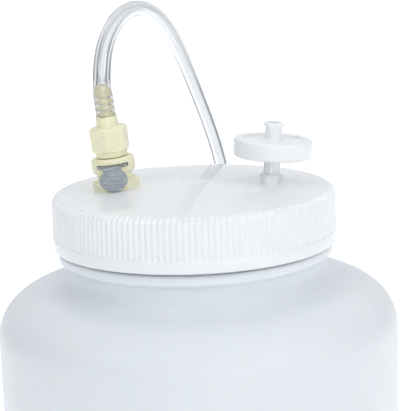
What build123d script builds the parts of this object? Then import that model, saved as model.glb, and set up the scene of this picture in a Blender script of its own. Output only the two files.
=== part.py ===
from build123d import *
import os
from math import cos, pi, radians, sin, sqrt, tan

os.makedirs("parts", exist_ok=True)

# Wide-mouth vented bottle: +Z is up, the origin is the centre of the bottle's base.
# Millimetres throughout. The two cap fittings sit on one diameter, along X.

# ---- Driving dimensions: bottle ----
TOTAL_HEIGHT = 252.0        # base to the centre of the cap's top
BODY_RADIUS = 78.0
BODY_WALL = 1.8
BASE_CORNER = 10.0
BASE_PUSH_UP = 4.0
FOOT_INNER_RADIUS = 60.0    # the foot ring that the bottle stands on
SHOULDER_TOP_RADIUS = 58.2  # where the shoulder's quarter ellipse turns level
SHOULDER_START = 194.7      # top of the straight body wall
SHOULDER_RISE = 17.5
NECK_RADIUS = 51.0
NECK_BEAD_RADIUS = 53.0
NECK_BEAD_BOTTOM = 223.4
NECK_BEAD_ROUNDING = 1.5
FINISH_RADIUS = 50.0        # threaded part of the neck
FINISH_BORE_RADIUS = 47.4
FINISH_BOTTOM = 227.6
RIM_HEIGHT = 245.0

# ---- Driving dimensions: screw cap ----
CAP_BOTTOM = 228.6
CAP_RADIUS = 55.0
CAP_TOP_RADIUS = 54.65
CAP_DOME_EDGE_RADIUS = 51.4
CAP_DOME_DROP = 3.0
CAP_EDGE_ROUNDING = 2.4
CAP_BORE_RADIUS = 52.2
CAP_LAND = 246.6            # flat ring inside that holds the gasket
CAP_LAND_INNER_RADIUS = 40.0
CAP_PANEL = 2.6
CAP_BAND = 4.5              # smooth band below the ribs
RIB_COUNT = 150
RIB_ROOT_RADIUS = 54.15
RIB_CREST_SHARE = 0.5       # share of the pitch that a rib's crest takes
GATE_MARK_RADIUS = 4.0
GASKET_INNER_RADIUS = 42.0
GASKET_OUTER_RADIUS = 51.0

# ---- Driving dimensions: the screw thread between bottle and cap ----
THREAD_PITCH = 5.08
THREAD_START = 231.0        # height of the neck thread's lower end
NECK_THREAD_CREST = 51.6
NECK_THREAD_TURNS = 1.5
CAP_THREAD_CREST = 50.6
CAP_THREAD_TURNS = 1.25
THREAD_BASE_WIDTH = 2.6
THREAD_CREST_WIDTH = 1.2
THREAD_ROOT_OVERLAP = 0.4

# ---- Driving dimensions: places of the two fittings on the cap ----
COUPLING_OFFSET = 29.5
COUPLING_LEAN = 5.6         # degrees outward, a little more than the dome's own slope
COUPLING_SEAT = -0.45       # spot face below the dome, in the fitting's own frame
VENT_OFFSET = 30.2
VENT_LEAN = 4.5
VENT_SEAT = -0.15
SPOT_FACE_MARGIN = 0.5
PANEL_SEAT_DEPTH = 0.35     # how far the washers' flat is cut up into the panel

# ---- Driving dimensions: quick coupling, in its own frame ----
STEM_RADIUS = 5.4
STEM_BOTTOM = -10.0
COUPLING_HOLE_RADIUS = 5.6
FLANGE_ACROSS_FLATS = 16.0
FLANGE_TOP = 3.2
WAIST_RADIUS = 6.75
RING_RADIUS = 8.35
RING_BOTTOM = 6.2
RING_TOP = 12.0
SOCKET_RADIUS = 4.05
SOCKET_FLOOR = -1.0
SLOT_WIDTH = 12.0
SLOT_BOTTOM = 8.6
SLOT_TOP = 9.95
SLOT_BACK = 7.3
SEAT_BORE_RADIUS = 2.4
SEAT_BOTTOM = -2.2
CHAMBER_RADIUS = 3.4
CHAMBER_BOTTOM = -8.8
OUTLET_RADIUS = 2.0
WASHER_THICKNESS = 1.2
NUT_THICKNESS = 4.0
NUT_ACROSS_FLATS = 15.9

# ---- Driving dimensions: thumb latch, in the coupling's frame ----
LATCH_SHEET = 0.9
LATCH_PLATE_BOTTOM = 8.85
LATCH_PLATE_WIDTH = 11.4
LATCH_PLATE_BACK = 5.3
LATCH_HOLE_RADIUS = 4.2
LATCH_TRAVEL = 1.5
LATCH_NECK_WIDTH = 7.1
LATCH_FRONT = -11.1         # front face of the thumb pad
THUMB_PAD_WIDTH = 10.7
THUMB_PAD_HEIGHT = 8.6
THUMB_PAD_CENTRE = 4.6
LATCH_SPRING_RADIUS = 1.35
LATCH_SPRING_POCKET_RADIUS = 1.6
LATCH_SPRING_POCKET_FLOOR = -5.1
LATCH_SPRING_HEIGHT = 4.8
LATCH_SPRING_WIRE = 0.18

# ---- Driving dimensions: hose insert, in the coupling's frame ----
NOSE_RADIUS = 3.95
NOSE_BORE_RADIUS = 2.6
NOSE_BOTTOM = -0.8
NOSE_LIP_RADIUS = 1.7
NOSE_LIP_TOP = 0.4
NOSE_GROOVE_RADIUS = 3.0
NOSE_GROOVE_HEIGHT = 5.0
NOSE_RING_MINOR = 0.5
COLLAR_RADIUS = 6.1
COLLAR_BOTTOM = 12.2
HEX_ACROSS_FLATS = 13.6
HEX_BOTTOM = 14.4
HEX_TOP = 23.8
HEX_TURN = 22.0             # degrees that the hex's front face is turned
HEX_CHAMFER_RADIUS = 7.0
BARB_PLUG_RADIUS = 3.4
BARB_PLUG_BOTTOM = 18.5
BOSS_RADIUS = 4.2
BOSS_TOP = 27.7
BARB_ROOT_RADIUS = 1.95
BARB_TIP_RADIUS = 2.35
BARB_FIRST = 0.1            # first barb's step above the boss
BARB_PITCH = 2.5
BARB_COUNT = 3
BARB_END = 39.8
BARB_BORE_RADIUS = 1.3

# ---- Driving dimensions: the two poppet valves, in the coupling's frame ----
BODY_POPPET_HEAD_RADIUS = 3.0
BODY_POPPET_HEAD = (-6.2, -4.8)
BODY_POPPET_STEM_RADIUS = 1.1
BODY_POPPET_STEM_TOP = -0.95
BODY_POPPET_RING = (2.7, 0.3)
INSERT_POPPET_HEAD_RADIUS = 2.3
INSERT_POPPET_HEAD = (3.0, 4.4)
INSERT_POPPET_STEM_RADIUS = 0.8
INSERT_POPPET_STEM_BOTTOM = -0.85
INSERT_POPPET_RING = (1.95, 0.3)
SPRING_WIRE = 0.2

# ---- Driving dimensions: vent port, in its own frame ----
PORT_STEM_RADIUS = 3.1
PORT_STEM_BOTTOM = -9.0
PORT_HOLE_RADIUS = 3.3
PORT_BASE_ACROSS_FLATS = 7.9
PORT_BASE_TOP = 2.8
PORT_BARREL_RADIUS = 3.1
PORT_BARREL_TOP = 9.3
PORT_RIB_COUNT = 10
PORT_RIB_HEIGHT = 0.25
PORT_WASHER_THICKNESS = 1.0
LUER_MOUTH_RADIUS = 2.14
LUER_DEPTH = 7.5
LUER_TAPER = 0.03           # radius lost for each millimetre of depth
LUER_GAP = 0.03
PORT_PASSAGE_RADIUS = 1.3
PORT_NUT_ACROSS_FLATS = 11.0
PORT_NUT_THICKNESS = 3.0

# ---- Driving dimensions: disc filter, in the vent port's frame ----
FILTER_RADIUS = 15.2
FILTER_BOTTOM = 9.5
FILTER_TOP = 16.7
FILTER_ROUNDING = 1.4
FILTER_WINDOW_RADIUS = 11.7
FILTER_WINDOW_STEP = 0.35   # each face lies this far inside the rim's edge
FILTER_CLAMP_RADIUS = 13.6
FILTER_CLAMP_EDGE = 0.9     # rim's lip over the clamped plates
FILTER_PLATE = 1.3
FILTER_CHAMBER_RADIUS = 11.6
FILTER_PASSAGE_RADIUS = 1.2
SLIP_PASSAGE_RADIUS = 1.0
MEMBRANE_RADIUS = 12.0
MEMBRANE_HALF = 0.1
CHAMBER_DEPTH = 0.7
HUB_RADIUS = 3.2
HUB_TOP = 22.9
LUG_RADIUS = 3.95
LUG_THICKNESS = 1.2
LUG_FLAT_WIDTH = 6.6

# ---- Driving dimensions: hose, its coil and tie ----
HOSE_RADIUS = 3.2
HOSE_BORE_RADIUS = 1.6
COIL_CENTRE = (-24.2, 150.0)
COIL_INNER_RADIUS = 28.6
COIL_OUTER_RADIUS = 41.4
COIL_BOTTOM = 1.0
COIL_TOP = 13.8
TIE_THICKNESS = 0.9
TIE_WIDTH = 7.0
TIE_ANGLE = 120             # degrees round the coil from +X
HOSE_END_HEIGHT = COIL_BOTTOM + HOSE_RADIUS

# The hose's route after it leaves the barb: over the back of the cap, down behind
# the bottle and along the floor into the coil.
HOSE_ROUTE = [
    (-32.2, 7.0, 305.0),
    (-26.9, 19.5, 314.6),
    (-19.5, 36.0, 317.0),
    (-11.8, 57.0, 311.0),
    (-4.7, 77.0, 297.0),
    (3.0, 88.5, 275.0),
    (11.2, 90.0, 250.0),
    (15.4, 89.5, 227.0),
    (16.5, 90.0, 200.0),
    (16.5, 91.0, 160.0),
    (15.5, 92.5, 120.0),
    (14.5, 94.5, 86.0),
    (14.0, 96.6, 61.0),
    (14.0, 99.5, 37.0),
    (14.0, 111.5, 16.3),
    (14.0, 132.5, HOSE_END_HEIGHT),
    (14.0, 155.0, HOSE_END_HEIGHT),
]

# ---- Frames of the two fittings ----
DOME_SPHERE = (CAP_DOME_EDGE_RADIUS ** 2 + CAP_DOME_DROP ** 2) / (2 * CAP_DOME_DROP)


def dome_height(radius):
    """Height of the cap's domed top at a radius from its centre."""
    return TOTAL_HEIGHT - DOME_SPHERE + sqrt(DOME_SPHERE ** 2 - radius ** 2)


def port_frame(offset, lean):
    """Plane on the dome at an offset along X, whose Z leans that many degrees towards +X."""
    return Plane(
        origin=(offset, 0, dome_height(abs(offset))),
        x_dir=(cos(radians(lean)), 0, -sin(radians(lean))),
        z_dir=(sin(radians(lean)), 0, cos(radians(lean))),
    )


COUPLING = port_frame(-COUPLING_OFFSET, -COUPLING_LEAN)
VENT = port_frame(VENT_OFFSET, VENT_LEAN)


# ---- Shape helpers ----
def outline(*corners):
    """Face from (radius, height) corners; a third value rounds that corner."""
    points = [Vector(c[0], c[1]) for c in corners]
    radii = [c[2] if len(c) > 2 else 0.0 for c in corners]
    count = len(points)
    arcs, entries, exits = [], [], []
    for i, corner in enumerate(points):
        to_last = (points[i - 1] - corner).normalized()
        to_next = (points[(i + 1) % count] - corner).normalized()
        half = radians(to_last.get_angle(to_next)) / 2
        setback = radii[i] / tan(half)
        entries.append(corner + to_last * setback)
        exits.append(corner + to_next * setback)
        if radii[i]:
            inward = (to_last + to_next).normalized()
            middle = corner + inward * (radii[i] / sin(half) - radii[i])
            arcs.append(ThreePointArc(entries[i], middle, exits[i]))
    lines = [Line(exits[i], entries[(i + 1) % count]) for i in range(count)]
    return make_face(arcs + lines)


def turned(*corners):
    """Solid of revolution about Z."""
    return revolve(Plane.XZ * outline(*corners), Axis.Z)


def tube(outer, inner, bottom, top):
    """Plain ring or sleeve about Z."""
    return turned((inner, bottom), (outer, bottom), (outer, top), (inner, top))


def rod(radius, bottom, top):
    """Plain cylinder about Z."""
    return Pos(0, 0, bottom) * extrude(Circle(radius), top - bottom)


def hexagon(across_flats, bottom, top, turn=0.0):
    """Hexagonal prism about Z, with corners on X before it is turned."""
    shape = Rot(0, 0, turn) * RegularPolygon(across_flats / 2, 6, major_radius=False)
    return Pos(0, 0, bottom) * extrude(shape, top - bottom)


def o_ring(major, minor, height):
    """Round-section ring about Z."""
    return Pos(0, 0, height) * Torus(major, minor)


def spring(radius, wire, bottom, top, turns):
    """Open coil spring about Z, whose wire stays between two heights."""
    length = top - bottom - 2 * wire
    path = Helix(length / turns, length, radius)
    section = Plane(origin=path @ 0, z_dir=path % 0) * Circle(wire)
    return Pos(0, 0, bottom + wire) * sweep(section, path, is_frenet=True)


def thread_ridge(crest_radius, wall_radius, start, turns):
    """Right-hand ridge from a wall to its crest, with a flat-topped section."""
    inward = 1 if crest_radius < wall_radius else -1
    root_radius = wall_radius + inward * THREAD_ROOT_OVERLAP
    path = Helix(THREAD_PITCH, THREAD_PITCH * turns, wall_radius)
    across = Polygon(
        (root_radius - wall_radius, -THREAD_BASE_WIDTH / 2),
        (crest_radius - wall_radius, -THREAD_CREST_WIDTH / 2),
        (crest_radius - wall_radius, THREAD_CREST_WIDTH / 2),
        (root_radius - wall_radius, THREAD_BASE_WIDTH / 2),
        align=None,
    )
    section = Plane(origin=path @ 0, x_dir=(1, 0, 0), z_dir=path % 0) * across
    return Pos(0, 0, start) * sweep(section, path, is_frenet=True)


# ---- Bottle ----
def bottle():
    """Blow-moulded bottle with a pushed-up base, quarter-ellipse shoulder and threaded neck."""
    foot_inner, foot_outer = FOOT_INNER_RADIUS, BODY_RADIUS - BASE_CORNER
    fillet_radius = SHOULDER_TOP_RADIUS - NECK_RADIUS
    shoulder_top = SHOULDER_START + SHOULDER_RISE
    shoulder_reach = BODY_RADIUS - SHOULDER_TOP_RADIUS
    neck_start = shoulder_top + fillet_radius
    wall = BODY_WALL
    diagonal = sqrt(0.5)
    bead_middle = (NECK_BEAD_BOTTOM + FINISH_BOTTOM) / 2

    def shoulder(inset):
        ellipse = EllipticalCenterArc(
            (SHOULDER_TOP_RADIUS, SHOULDER_START),
            shoulder_reach - inset, SHOULDER_RISE - inset, start_angle=0, arc_size=90,
        )
        bend = fillet_radius + inset
        centre = Vector(SHOULDER_TOP_RADIUS, neck_start)
        throat = ThreePointArc(
            centre + Vector(0, -bend),
            centre + Vector(-bend, -bend) * diagonal,
            centre + Vector(-bend, 0),
        )
        return [ellipse, throat]

    def base_corner(inset):
        centre = Vector(foot_outer, BASE_CORNER)
        bend = BASE_CORNER - inset
        return ThreePointArc(
            centre + Vector(0, -bend), centre + Vector(bend, -bend) * diagonal, centre + Vector(bend, 0)
        )

    def push_up(lift):
        edge = Vector(foot_inner - 3, lift + 1)
        return ThreePointArc((0, BASE_PUSH_UP + lift), (edge.X / 2, lift + 3.3), edge)

    bead = outline(
        (FINISH_BORE_RADIUS + 1, NECK_BEAD_BOTTOM),
        (NECK_BEAD_RADIUS, NECK_BEAD_BOTTOM, NECK_BEAD_ROUNDING),
        (NECK_BEAD_RADIUS, FINISH_BOTTOM, NECK_BEAD_ROUNDING),
        (FINISH_BORE_RADIUS + 1, FINISH_BOTTOM),
    )
    outside = [
        push_up(0.0),
        Polyline((foot_inner - 3, 1), (foot_inner, 0), (foot_outer, 0)),
        base_corner(0.0),
        Line((BODY_RADIUS, BASE_CORNER), (BODY_RADIUS, SHOULDER_START)),
        *shoulder(0.0),
        Polyline(
            (NECK_RADIUS, neck_start), (NECK_RADIUS, bead_middle), (FINISH_RADIUS, bead_middle),
            (FINISH_RADIUS, RIM_HEIGHT - 0.6), (FINISH_RADIUS - 0.6, RIM_HEIGHT),
            (FINISH_BORE_RADIUS, RIM_HEIGHT),
        ),
    ]
    throat_radius = NECK_RADIUS - wall
    inside = [
        Polyline(
            (FINISH_BORE_RADIUS, RIM_HEIGHT), (FINISH_BORE_RADIUS, NECK_BEAD_BOTTOM),
            (throat_radius, neck_start),
        ),
        *shoulder(wall),
        Line((BODY_RADIUS - wall, SHOULDER_START), (BODY_RADIUS - wall, BASE_CORNER)),
        base_corner(wall),
        Polyline((foot_outer, wall), (foot_inner, wall), (foot_inner - 3, wall + 1)),
        push_up(wall),
        Line((0, BASE_PUSH_UP + wall), (0, BASE_PUSH_UP)),
    ]
    shell = revolve(Plane.XZ * (make_face(outside + inside) + bead), Axis.Z)
    ridge = thread_ridge(NECK_THREAD_CREST, FINISH_RADIUS, THREAD_START, NECK_THREAD_TURNS)
    return shell + ridge


# ---- Cap and gasket ----
def rib_prism():
    """Toothed prism whose valleys are the gaps between the cap's ribs."""
    pitch = 2 * pi / RIB_COUNT
    half_crest = pitch * RIB_CREST_SHARE / 2
    half_root = pitch * (1 - RIB_CREST_SHARE) / 4
    beyond = CAP_RADIUS + 2
    points = []
    for i in range(RIB_COUNT):
        for angle, radius in (
            (-half_crest, beyond), (half_crest, beyond),
            (pitch / 2 - half_root, RIB_ROOT_RADIUS), (pitch / 2 + half_root, RIB_ROOT_RADIUS),
        ):
            turn = i * pitch + angle
            points.append((radius * cos(turn), radius * sin(turn)))
    bottom = CAP_BOTTOM + CAP_BAND
    return Pos(0, 0, bottom) * extrude(Polygon(*points, align=None), TOTAL_HEIGHT + 1 - bottom)


def screw_cap():
    """Ribbed cap with a shallow dome, two fitting holes and an inner thread."""
    edge_height = TOTAL_HEIGHT - CAP_DOME_DROP
    corner_height = edge_height - CAP_EDGE_ROUNDING
    middle = CAP_DOME_EDGE_RADIUS / 2
    round_middle = (
        CAP_DOME_EDGE_RADIUS + (CAP_TOP_RADIUS - CAP_DOME_EDGE_RADIUS) * sin(pi / 4),
        corner_height + CAP_EDGE_ROUNDING * cos(pi / 4),
    )
    top = ThreePointArc(
        (0, TOTAL_HEIGHT), (middle, dome_height(middle)), (CAP_DOME_EDGE_RADIUS, edge_height)
    )
    rounding = ThreePointArc(
        (CAP_DOME_EDGE_RADIUS, edge_height), round_middle, (CAP_TOP_RADIUS, corner_height)
    )
    land = CAP_LAND_INNER_RADIUS
    ceiling = ThreePointArc(
        (land, dome_height(land) - CAP_PANEL),
        (land / 2, dome_height(land / 2) - CAP_PANEL),
        (0, TOTAL_HEIGHT - CAP_PANEL),
    )
    sides = Polyline(
        (CAP_TOP_RADIUS, corner_height), (CAP_RADIUS, CAP_BOTTOM + 0.6),
        (CAP_RADIUS - 0.6, CAP_BOTTOM), (CAP_BORE_RADIUS, CAP_BOTTOM),
        (CAP_BORE_RADIUS, CAP_LAND), (land, CAP_LAND), (land, dome_height(land) - CAP_PANEL),
    )
    axis = Line((0, TOTAL_HEIGHT - CAP_PANEL), (0, TOTAL_HEIGHT))
    blank = revolve(Plane.XZ * make_face([top, rounding, sides, ceiling, axis]), Axis.Z)
    band = Pos(0, 0, CAP_BOTTOM) * extrude(Circle(CAP_RADIUS + 2), CAP_BAND)
    shape = blank & (rib_prism() + band)
    gate_base = TOTAL_HEIGHT - 0.5
    shape += tube(GATE_MARK_RADIUS, 1.0, gate_base, TOTAL_HEIGHT + 0.3)
    for frame, hole in ((COUPLING, COUPLING_HOLE_RADIUS), (VENT, PORT_HOLE_RADIUS)):
        shape -= frame.location * rod(hole, -2 * CAP_PANEL, 1.0)
    flange_reach = FLANGE_ACROSS_FLATS / sqrt(3) + SPOT_FACE_MARGIN
    base_reach = PORT_BASE_ACROSS_FLATS / sqrt(3) + SPOT_FACE_MARGIN
    shape -= COUPLING.location * rod(flange_reach, COUPLING_SEAT, 1.0)
    shape -= VENT.location * rod(base_reach, VENT_SEAT, 1.0)
    # Flat faces inside, square to each fitting, for the washers.
    shape -= COUPLING.location * rod(NUT_ACROSS_FLATS / 2 + 1.6, -6.0, under_panel())
    shape -= VENT.location * rod(PORT_NUT_ACROSS_FLATS / 2 + 1.4, -6.0, under_panel())
    start = THREAD_START + THREAD_PITCH / 2
    ridge = thread_ridge(CAP_THREAD_CREST, CAP_BORE_RADIUS, start, CAP_THREAD_TURNS)
    return shape + ridge


def under_panel():
    """Height of the flat face under the cap's panel, in a fitting's frame."""
    return -CAP_PANEL + PANEL_SEAT_DEPTH


def cap_gasket():
    """Flat sealing ring between the cap's land and the bottle's rim."""
    return tube(GASKET_OUTER_RADIUS, GASKET_INNER_RADIUS, RIM_HEIGHT, CAP_LAND)


# ---- Quick coupling ----
def coupling_body():
    """Panel-mounted half: hex flange, waist, slotted ring and valve chamber."""
    outside = turned(
        (0, STEM_BOTTOM), (STEM_RADIUS, STEM_BOTTOM),
        (STEM_RADIUS, COUPLING_SEAT), (WAIST_RADIUS, COUPLING_SEAT),
        (WAIST_RADIUS, RING_BOTTOM - 0.6, 0.6), (RING_RADIUS, RING_BOTTOM + 0.4, 1.2),
        (RING_RADIUS, RING_TOP, 1.5), (0, RING_TOP),
    )
    corner = FLANGE_ACROSS_FLATS / sqrt(3)
    flange = hexagon(FLANGE_ACROSS_FLATS, COUPLING_SEAT, FLANGE_TOP)
    flange &= turned(
        (0, COUPLING_SEAT), (corner - 0.55, COUPLING_SEAT), (corner, COUPLING_SEAT + 0.55),
        (corner, FLANGE_TOP - 0.5), (corner - 0.85, FLANGE_TOP), (0, FLANGE_TOP),
    )
    hollow = turned(
        (0, STEM_BOTTOM - 1), (OUTLET_RADIUS, STEM_BOTTOM - 1), (OUTLET_RADIUS, CHAMBER_BOTTOM),
        (CHAMBER_RADIUS, CHAMBER_BOTTOM), (CHAMBER_RADIUS, SEAT_BOTTOM), (SEAT_BORE_RADIUS, SEAT_BOTTOM),
        (SEAT_BORE_RADIUS, SOCKET_FLOOR), (SOCKET_RADIUS, SOCKET_FLOOR),
        (SOCKET_RADIUS, RING_TOP - 0.4), (SOCKET_RADIUS + 1.4, RING_TOP + 1), (0, RING_TOP + 1),
    )
    slot_depth = SLOT_BACK + RING_RADIUS + 1
    slot = Pos(0, SLOT_BACK - slot_depth / 2, (SLOT_BOTTOM + SLOT_TOP) / 2) * Box(
        SLOT_WIDTH, slot_depth, SLOT_TOP - SLOT_BOTTOM
    )
    pocket = Pos(0, -WAIST_RADIUS, LATCH_SPRING_HEIGHT) * (Rot(90, 0, 0) * Cylinder(
        LATCH_SPRING_POCKET_RADIUS, 2 * (WAIST_RADIUS + LATCH_SPRING_POCKET_FLOOR)
    ))
    return outside + flange - hollow - slot - pocket


def coupling_washer():
    """Flat washer between the cap's underside and the lock nut."""
    return tube(NUT_ACROSS_FLATS / 2 + 0.6, STEM_RADIUS, under_panel() - WASHER_THICKNESS, under_panel())


def coupling_nut():
    """Hexagonal lock nut inside the cap."""
    top = under_panel() - WASHER_THICKNESS
    bottom = top - NUT_THICKNESS
    corner = NUT_ACROSS_FLATS / sqrt(3)
    bevel = turned(
        (0, bottom), (corner - 1.0, bottom), (corner, bottom + 0.6), (corner, top), (0, top)
    )
    return (hexagon(NUT_ACROSS_FLATS, bottom, top) & bevel) - rod(STEM_RADIUS, bottom - 1, top + 1)


def latch_plate():
    """Bent sheet latch: a plate with a round-ended hole, a neck and a thumb pad."""
    top = LATCH_PLATE_BOTTOM + LATCH_SHEET
    tab_inner = LATCH_FRONT + LATCH_SHEET
    bend = 1.5
    length = LATCH_PLATE_BACK - tab_inner
    plate = Pos(0, (LATCH_PLATE_BACK + tab_inner) / 2, LATCH_PLATE_BOTTOM) * extrude(
        Rectangle(LATCH_PLATE_WIDTH, length), LATCH_SHEET
    )
    shoulder_front = -RING_RADIUS + 0.9
    for side in (-1, 1):
        trim_width = (LATCH_PLATE_WIDTH - LATCH_NECK_WIDTH) / 2
        trim_length = shoulder_front - LATCH_FRONT + 1
        x = side * (LATCH_NECK_WIDTH + trim_width) / 2
        plate -= Pos(x, shoulder_front - trim_length / 2, LATCH_PLATE_BOTTOM) * Box(
            trim_width, trim_length, 4 * LATCH_SHEET
        )
    hole = SlotCenterToCenter(LATCH_TRAVEL, 2 * LATCH_HOLE_RADIUS)
    plate -= Pos(0, -LATCH_TRAVEL / 2, LATCH_PLATE_BOTTOM - 1) * extrude(Rot(0, 0, 90) * hole, 3)
    side_view = Plane.YZ * make_face([
        Line((LATCH_FRONT, 6.0), (LATCH_FRONT, top - bend)),
        ThreePointArc(
            (LATCH_FRONT, top - bend),
            (LATCH_FRONT + bend * (1 - sqrt(0.5)), top - bend * (1 - sqrt(0.5))),
            (LATCH_FRONT + bend, top),
        ),
        Line((LATCH_FRONT + bend, top), (LATCH_FRONT + bend, LATCH_PLATE_BOTTOM)),
        ThreePointArc(
            (LATCH_FRONT + bend, LATCH_PLATE_BOTTOM),
            (tab_inner + (bend - LATCH_SHEET) * (1 - sqrt(0.5)),
             LATCH_PLATE_BOTTOM - (bend - LATCH_SHEET) * (1 - sqrt(0.5))),
            (tab_inner, LATCH_PLATE_BOTTOM - (bend - LATCH_SHEET)),
        ),
        Line((tab_inner, LATCH_PLATE_BOTTOM - (bend - LATCH_SHEET)), (tab_inner, 6.0)),
        Line((tab_inner, 6.0), (LATCH_FRONT, 6.0)),
    ])
    elbow = extrude(side_view, LATCH_NECK_WIDTH / 2, both=True)
    cut_back = Pos(0, LATCH_FRONT, top) * Box(LATCH_PLATE_WIDTH + 2, 2 * bend, 2 * LATCH_SHEET + 0.01)
    pad_face = Plane(origin=(0, tab_inner, THUMB_PAD_CENTRE), x_dir=(1, 0, 0), z_dir=(0, -1, 0))
    pad = extrude(pad_face * Ellipse(THUMB_PAD_WIDTH / 2, THUMB_PAD_HEIGHT / 2), LATCH_SHEET)
    return (plate - cut_back) + elbow + pad


def latch_spring():
    """Small coil spring that holds the thumb pad out."""
    tab_inner = LATCH_FRONT + LATCH_SHEET
    length = LATCH_SPRING_POCKET_FLOOR - tab_inner
    coil = spring(LATCH_SPRING_RADIUS - LATCH_SPRING_WIRE, LATCH_SPRING_WIRE, 0, length, 5)
    return Pos(0, tab_inner, LATCH_SPRING_HEIGHT) * (Rot(-90, 0, 0) * coil)


def valve(head_radius, head, stem_radius, stem_end):
    """Poppet: a disc with a thin stem that meets the other valve's stem."""
    low, high = head
    stem_low, stem_high = min(stem_end, low), max(stem_end, high)
    return rod(head_radius, low, high) + rod(stem_radius, stem_low, stem_high)


def body_poppet():
    """Shut-off poppet of the cap's coupling half, with its O-ring groove."""
    major, minor = BODY_POPPET_RING
    shape = valve(
        BODY_POPPET_HEAD_RADIUS, BODY_POPPET_HEAD, BODY_POPPET_STEM_RADIUS, BODY_POPPET_STEM_TOP
    )
    return shape - o_ring(major, minor, BODY_POPPET_HEAD[1])


def body_poppet_ring():
    """O-ring on the body poppet's top face."""
    major, minor = BODY_POPPET_RING
    return o_ring(major, minor, BODY_POPPET_HEAD[1])


def body_valve_spring():
    """Spring under the body poppet."""
    return spring(CHAMBER_RADIUS - 0.9, SPRING_WIRE, CHAMBER_BOTTOM, BODY_POPPET_HEAD[0], 3)


# ---- Hose insert ----
def insert_body():
    """Nose, collar and hex of the hose half."""
    nose_and_collar = turned(
        (0, NOSE_BOTTOM), (NOSE_RADIUS - 0.4, NOSE_BOTTOM), (NOSE_RADIUS, NOSE_BOTTOM + 0.8),
        (NOSE_RADIUS, NOSE_GROOVE_HEIGHT - NOSE_RING_MINOR),
        (NOSE_GROOVE_RADIUS, NOSE_GROOVE_HEIGHT - NOSE_RING_MINOR),
        (NOSE_GROOVE_RADIUS, NOSE_GROOVE_HEIGHT + NOSE_RING_MINOR),
        (NOSE_RADIUS, NOSE_GROOVE_HEIGHT + NOSE_RING_MINOR), (NOSE_RADIUS, COLLAR_BOTTOM),
        (COLLAR_RADIUS, COLLAR_BOTTOM, 0.4), (COLLAR_RADIUS, HEX_BOTTOM + 0.4), (0, HEX_BOTTOM + 0.4),
    )
    corner = HEX_ACROSS_FLATS / sqrt(3)
    bevel = turned(
        (0, HEX_BOTTOM), (HEX_CHAMFER_RADIUS, HEX_BOTTOM), (corner, HEX_BOTTOM + 0.9),
        (corner, HEX_TOP - 1.0), (HEX_CHAMFER_RADIUS - 0.2, HEX_TOP), (0, HEX_TOP),
    )
    hexagonal = hexagon(HEX_ACROSS_FLATS, HEX_BOTTOM, HEX_TOP, HEX_TURN) & bevel
    hollow = turned(
        (0, NOSE_BOTTOM - 1), (NOSE_LIP_RADIUS, NOSE_BOTTOM - 1), (NOSE_LIP_RADIUS, NOSE_LIP_TOP),
        (NOSE_BORE_RADIUS, NOSE_LIP_TOP), (NOSE_BORE_RADIUS, BARB_PLUG_BOTTOM),
        (BARB_PLUG_RADIUS, BARB_PLUG_BOTTOM), (BARB_PLUG_RADIUS, HEX_TOP + 1), (0, HEX_TOP + 1),
    )
    return nose_and_collar + hexagonal - hollow


def insert_barb():
    """Barbed hose tail, plugged into the hex."""
    corners = [
        (BARB_BORE_RADIUS, BARB_PLUG_BOTTOM), (BARB_PLUG_RADIUS, BARB_PLUG_BOTTOM),
        (BARB_PLUG_RADIUS, HEX_TOP), (BOSS_RADIUS, HEX_TOP), (BOSS_RADIUS, BOSS_TOP, 0.5),
        (BARB_ROOT_RADIUS, BOSS_TOP),
    ]
    for i in range(BARB_COUNT):
        step = BOSS_TOP + BARB_FIRST + i * BARB_PITCH
        corners += [
            (BARB_ROOT_RADIUS, step), (BARB_TIP_RADIUS, step + 0.25), (BARB_TIP_RADIUS, step + 0.55),
            (BARB_ROOT_RADIUS, step + BARB_PITCH - 0.6),
        ]
    last = BOSS_TOP + BARB_FIRST + BARB_COUNT * BARB_PITCH
    corners += [
        (BARB_ROOT_RADIUS, last), (BARB_TIP_RADIUS, last + 0.25), (BARB_TIP_RADIUS, last + 0.55),
        (BARB_ROOT_RADIUS - 0.1, BARB_END, 0.2), (BARB_BORE_RADIUS, BARB_END),
    ]
    return turned(*corners)


def insert_ring():
    """O-ring in the nose's groove."""
    return o_ring(NOSE_GROOVE_RADIUS + NOSE_RING_MINOR, NOSE_RING_MINOR, NOSE_GROOVE_HEIGHT)


def insert_poppet():
    """Shut-off poppet of the hose half, with its O-ring groove."""
    major, minor = INSERT_POPPET_RING
    shape = valve(
        INSERT_POPPET_HEAD_RADIUS, INSERT_POPPET_HEAD, INSERT_POPPET_STEM_RADIUS,
        INSERT_POPPET_STEM_BOTTOM,
    )
    return shape - o_ring(major, minor, INSERT_POPPET_HEAD[0])


def insert_poppet_ring():
    """O-ring under the insert poppet's head."""
    major, minor = INSERT_POPPET_RING
    return o_ring(major, minor, INSERT_POPPET_HEAD[0])


def insert_valve_spring():
    """Spring between the insert poppet and the barb's plug."""
    return spring(NOSE_BORE_RADIUS - 0.6, SPRING_WIRE, INSERT_POPPET_HEAD[1], BARB_PLUG_BOTTOM, 7)


# ---- Vent port ----
def luer_radius(depth):
    """Radius of the female taper at a depth below its mouth."""
    return LUER_MOUTH_RADIUS - LUER_TAPER * depth


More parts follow.
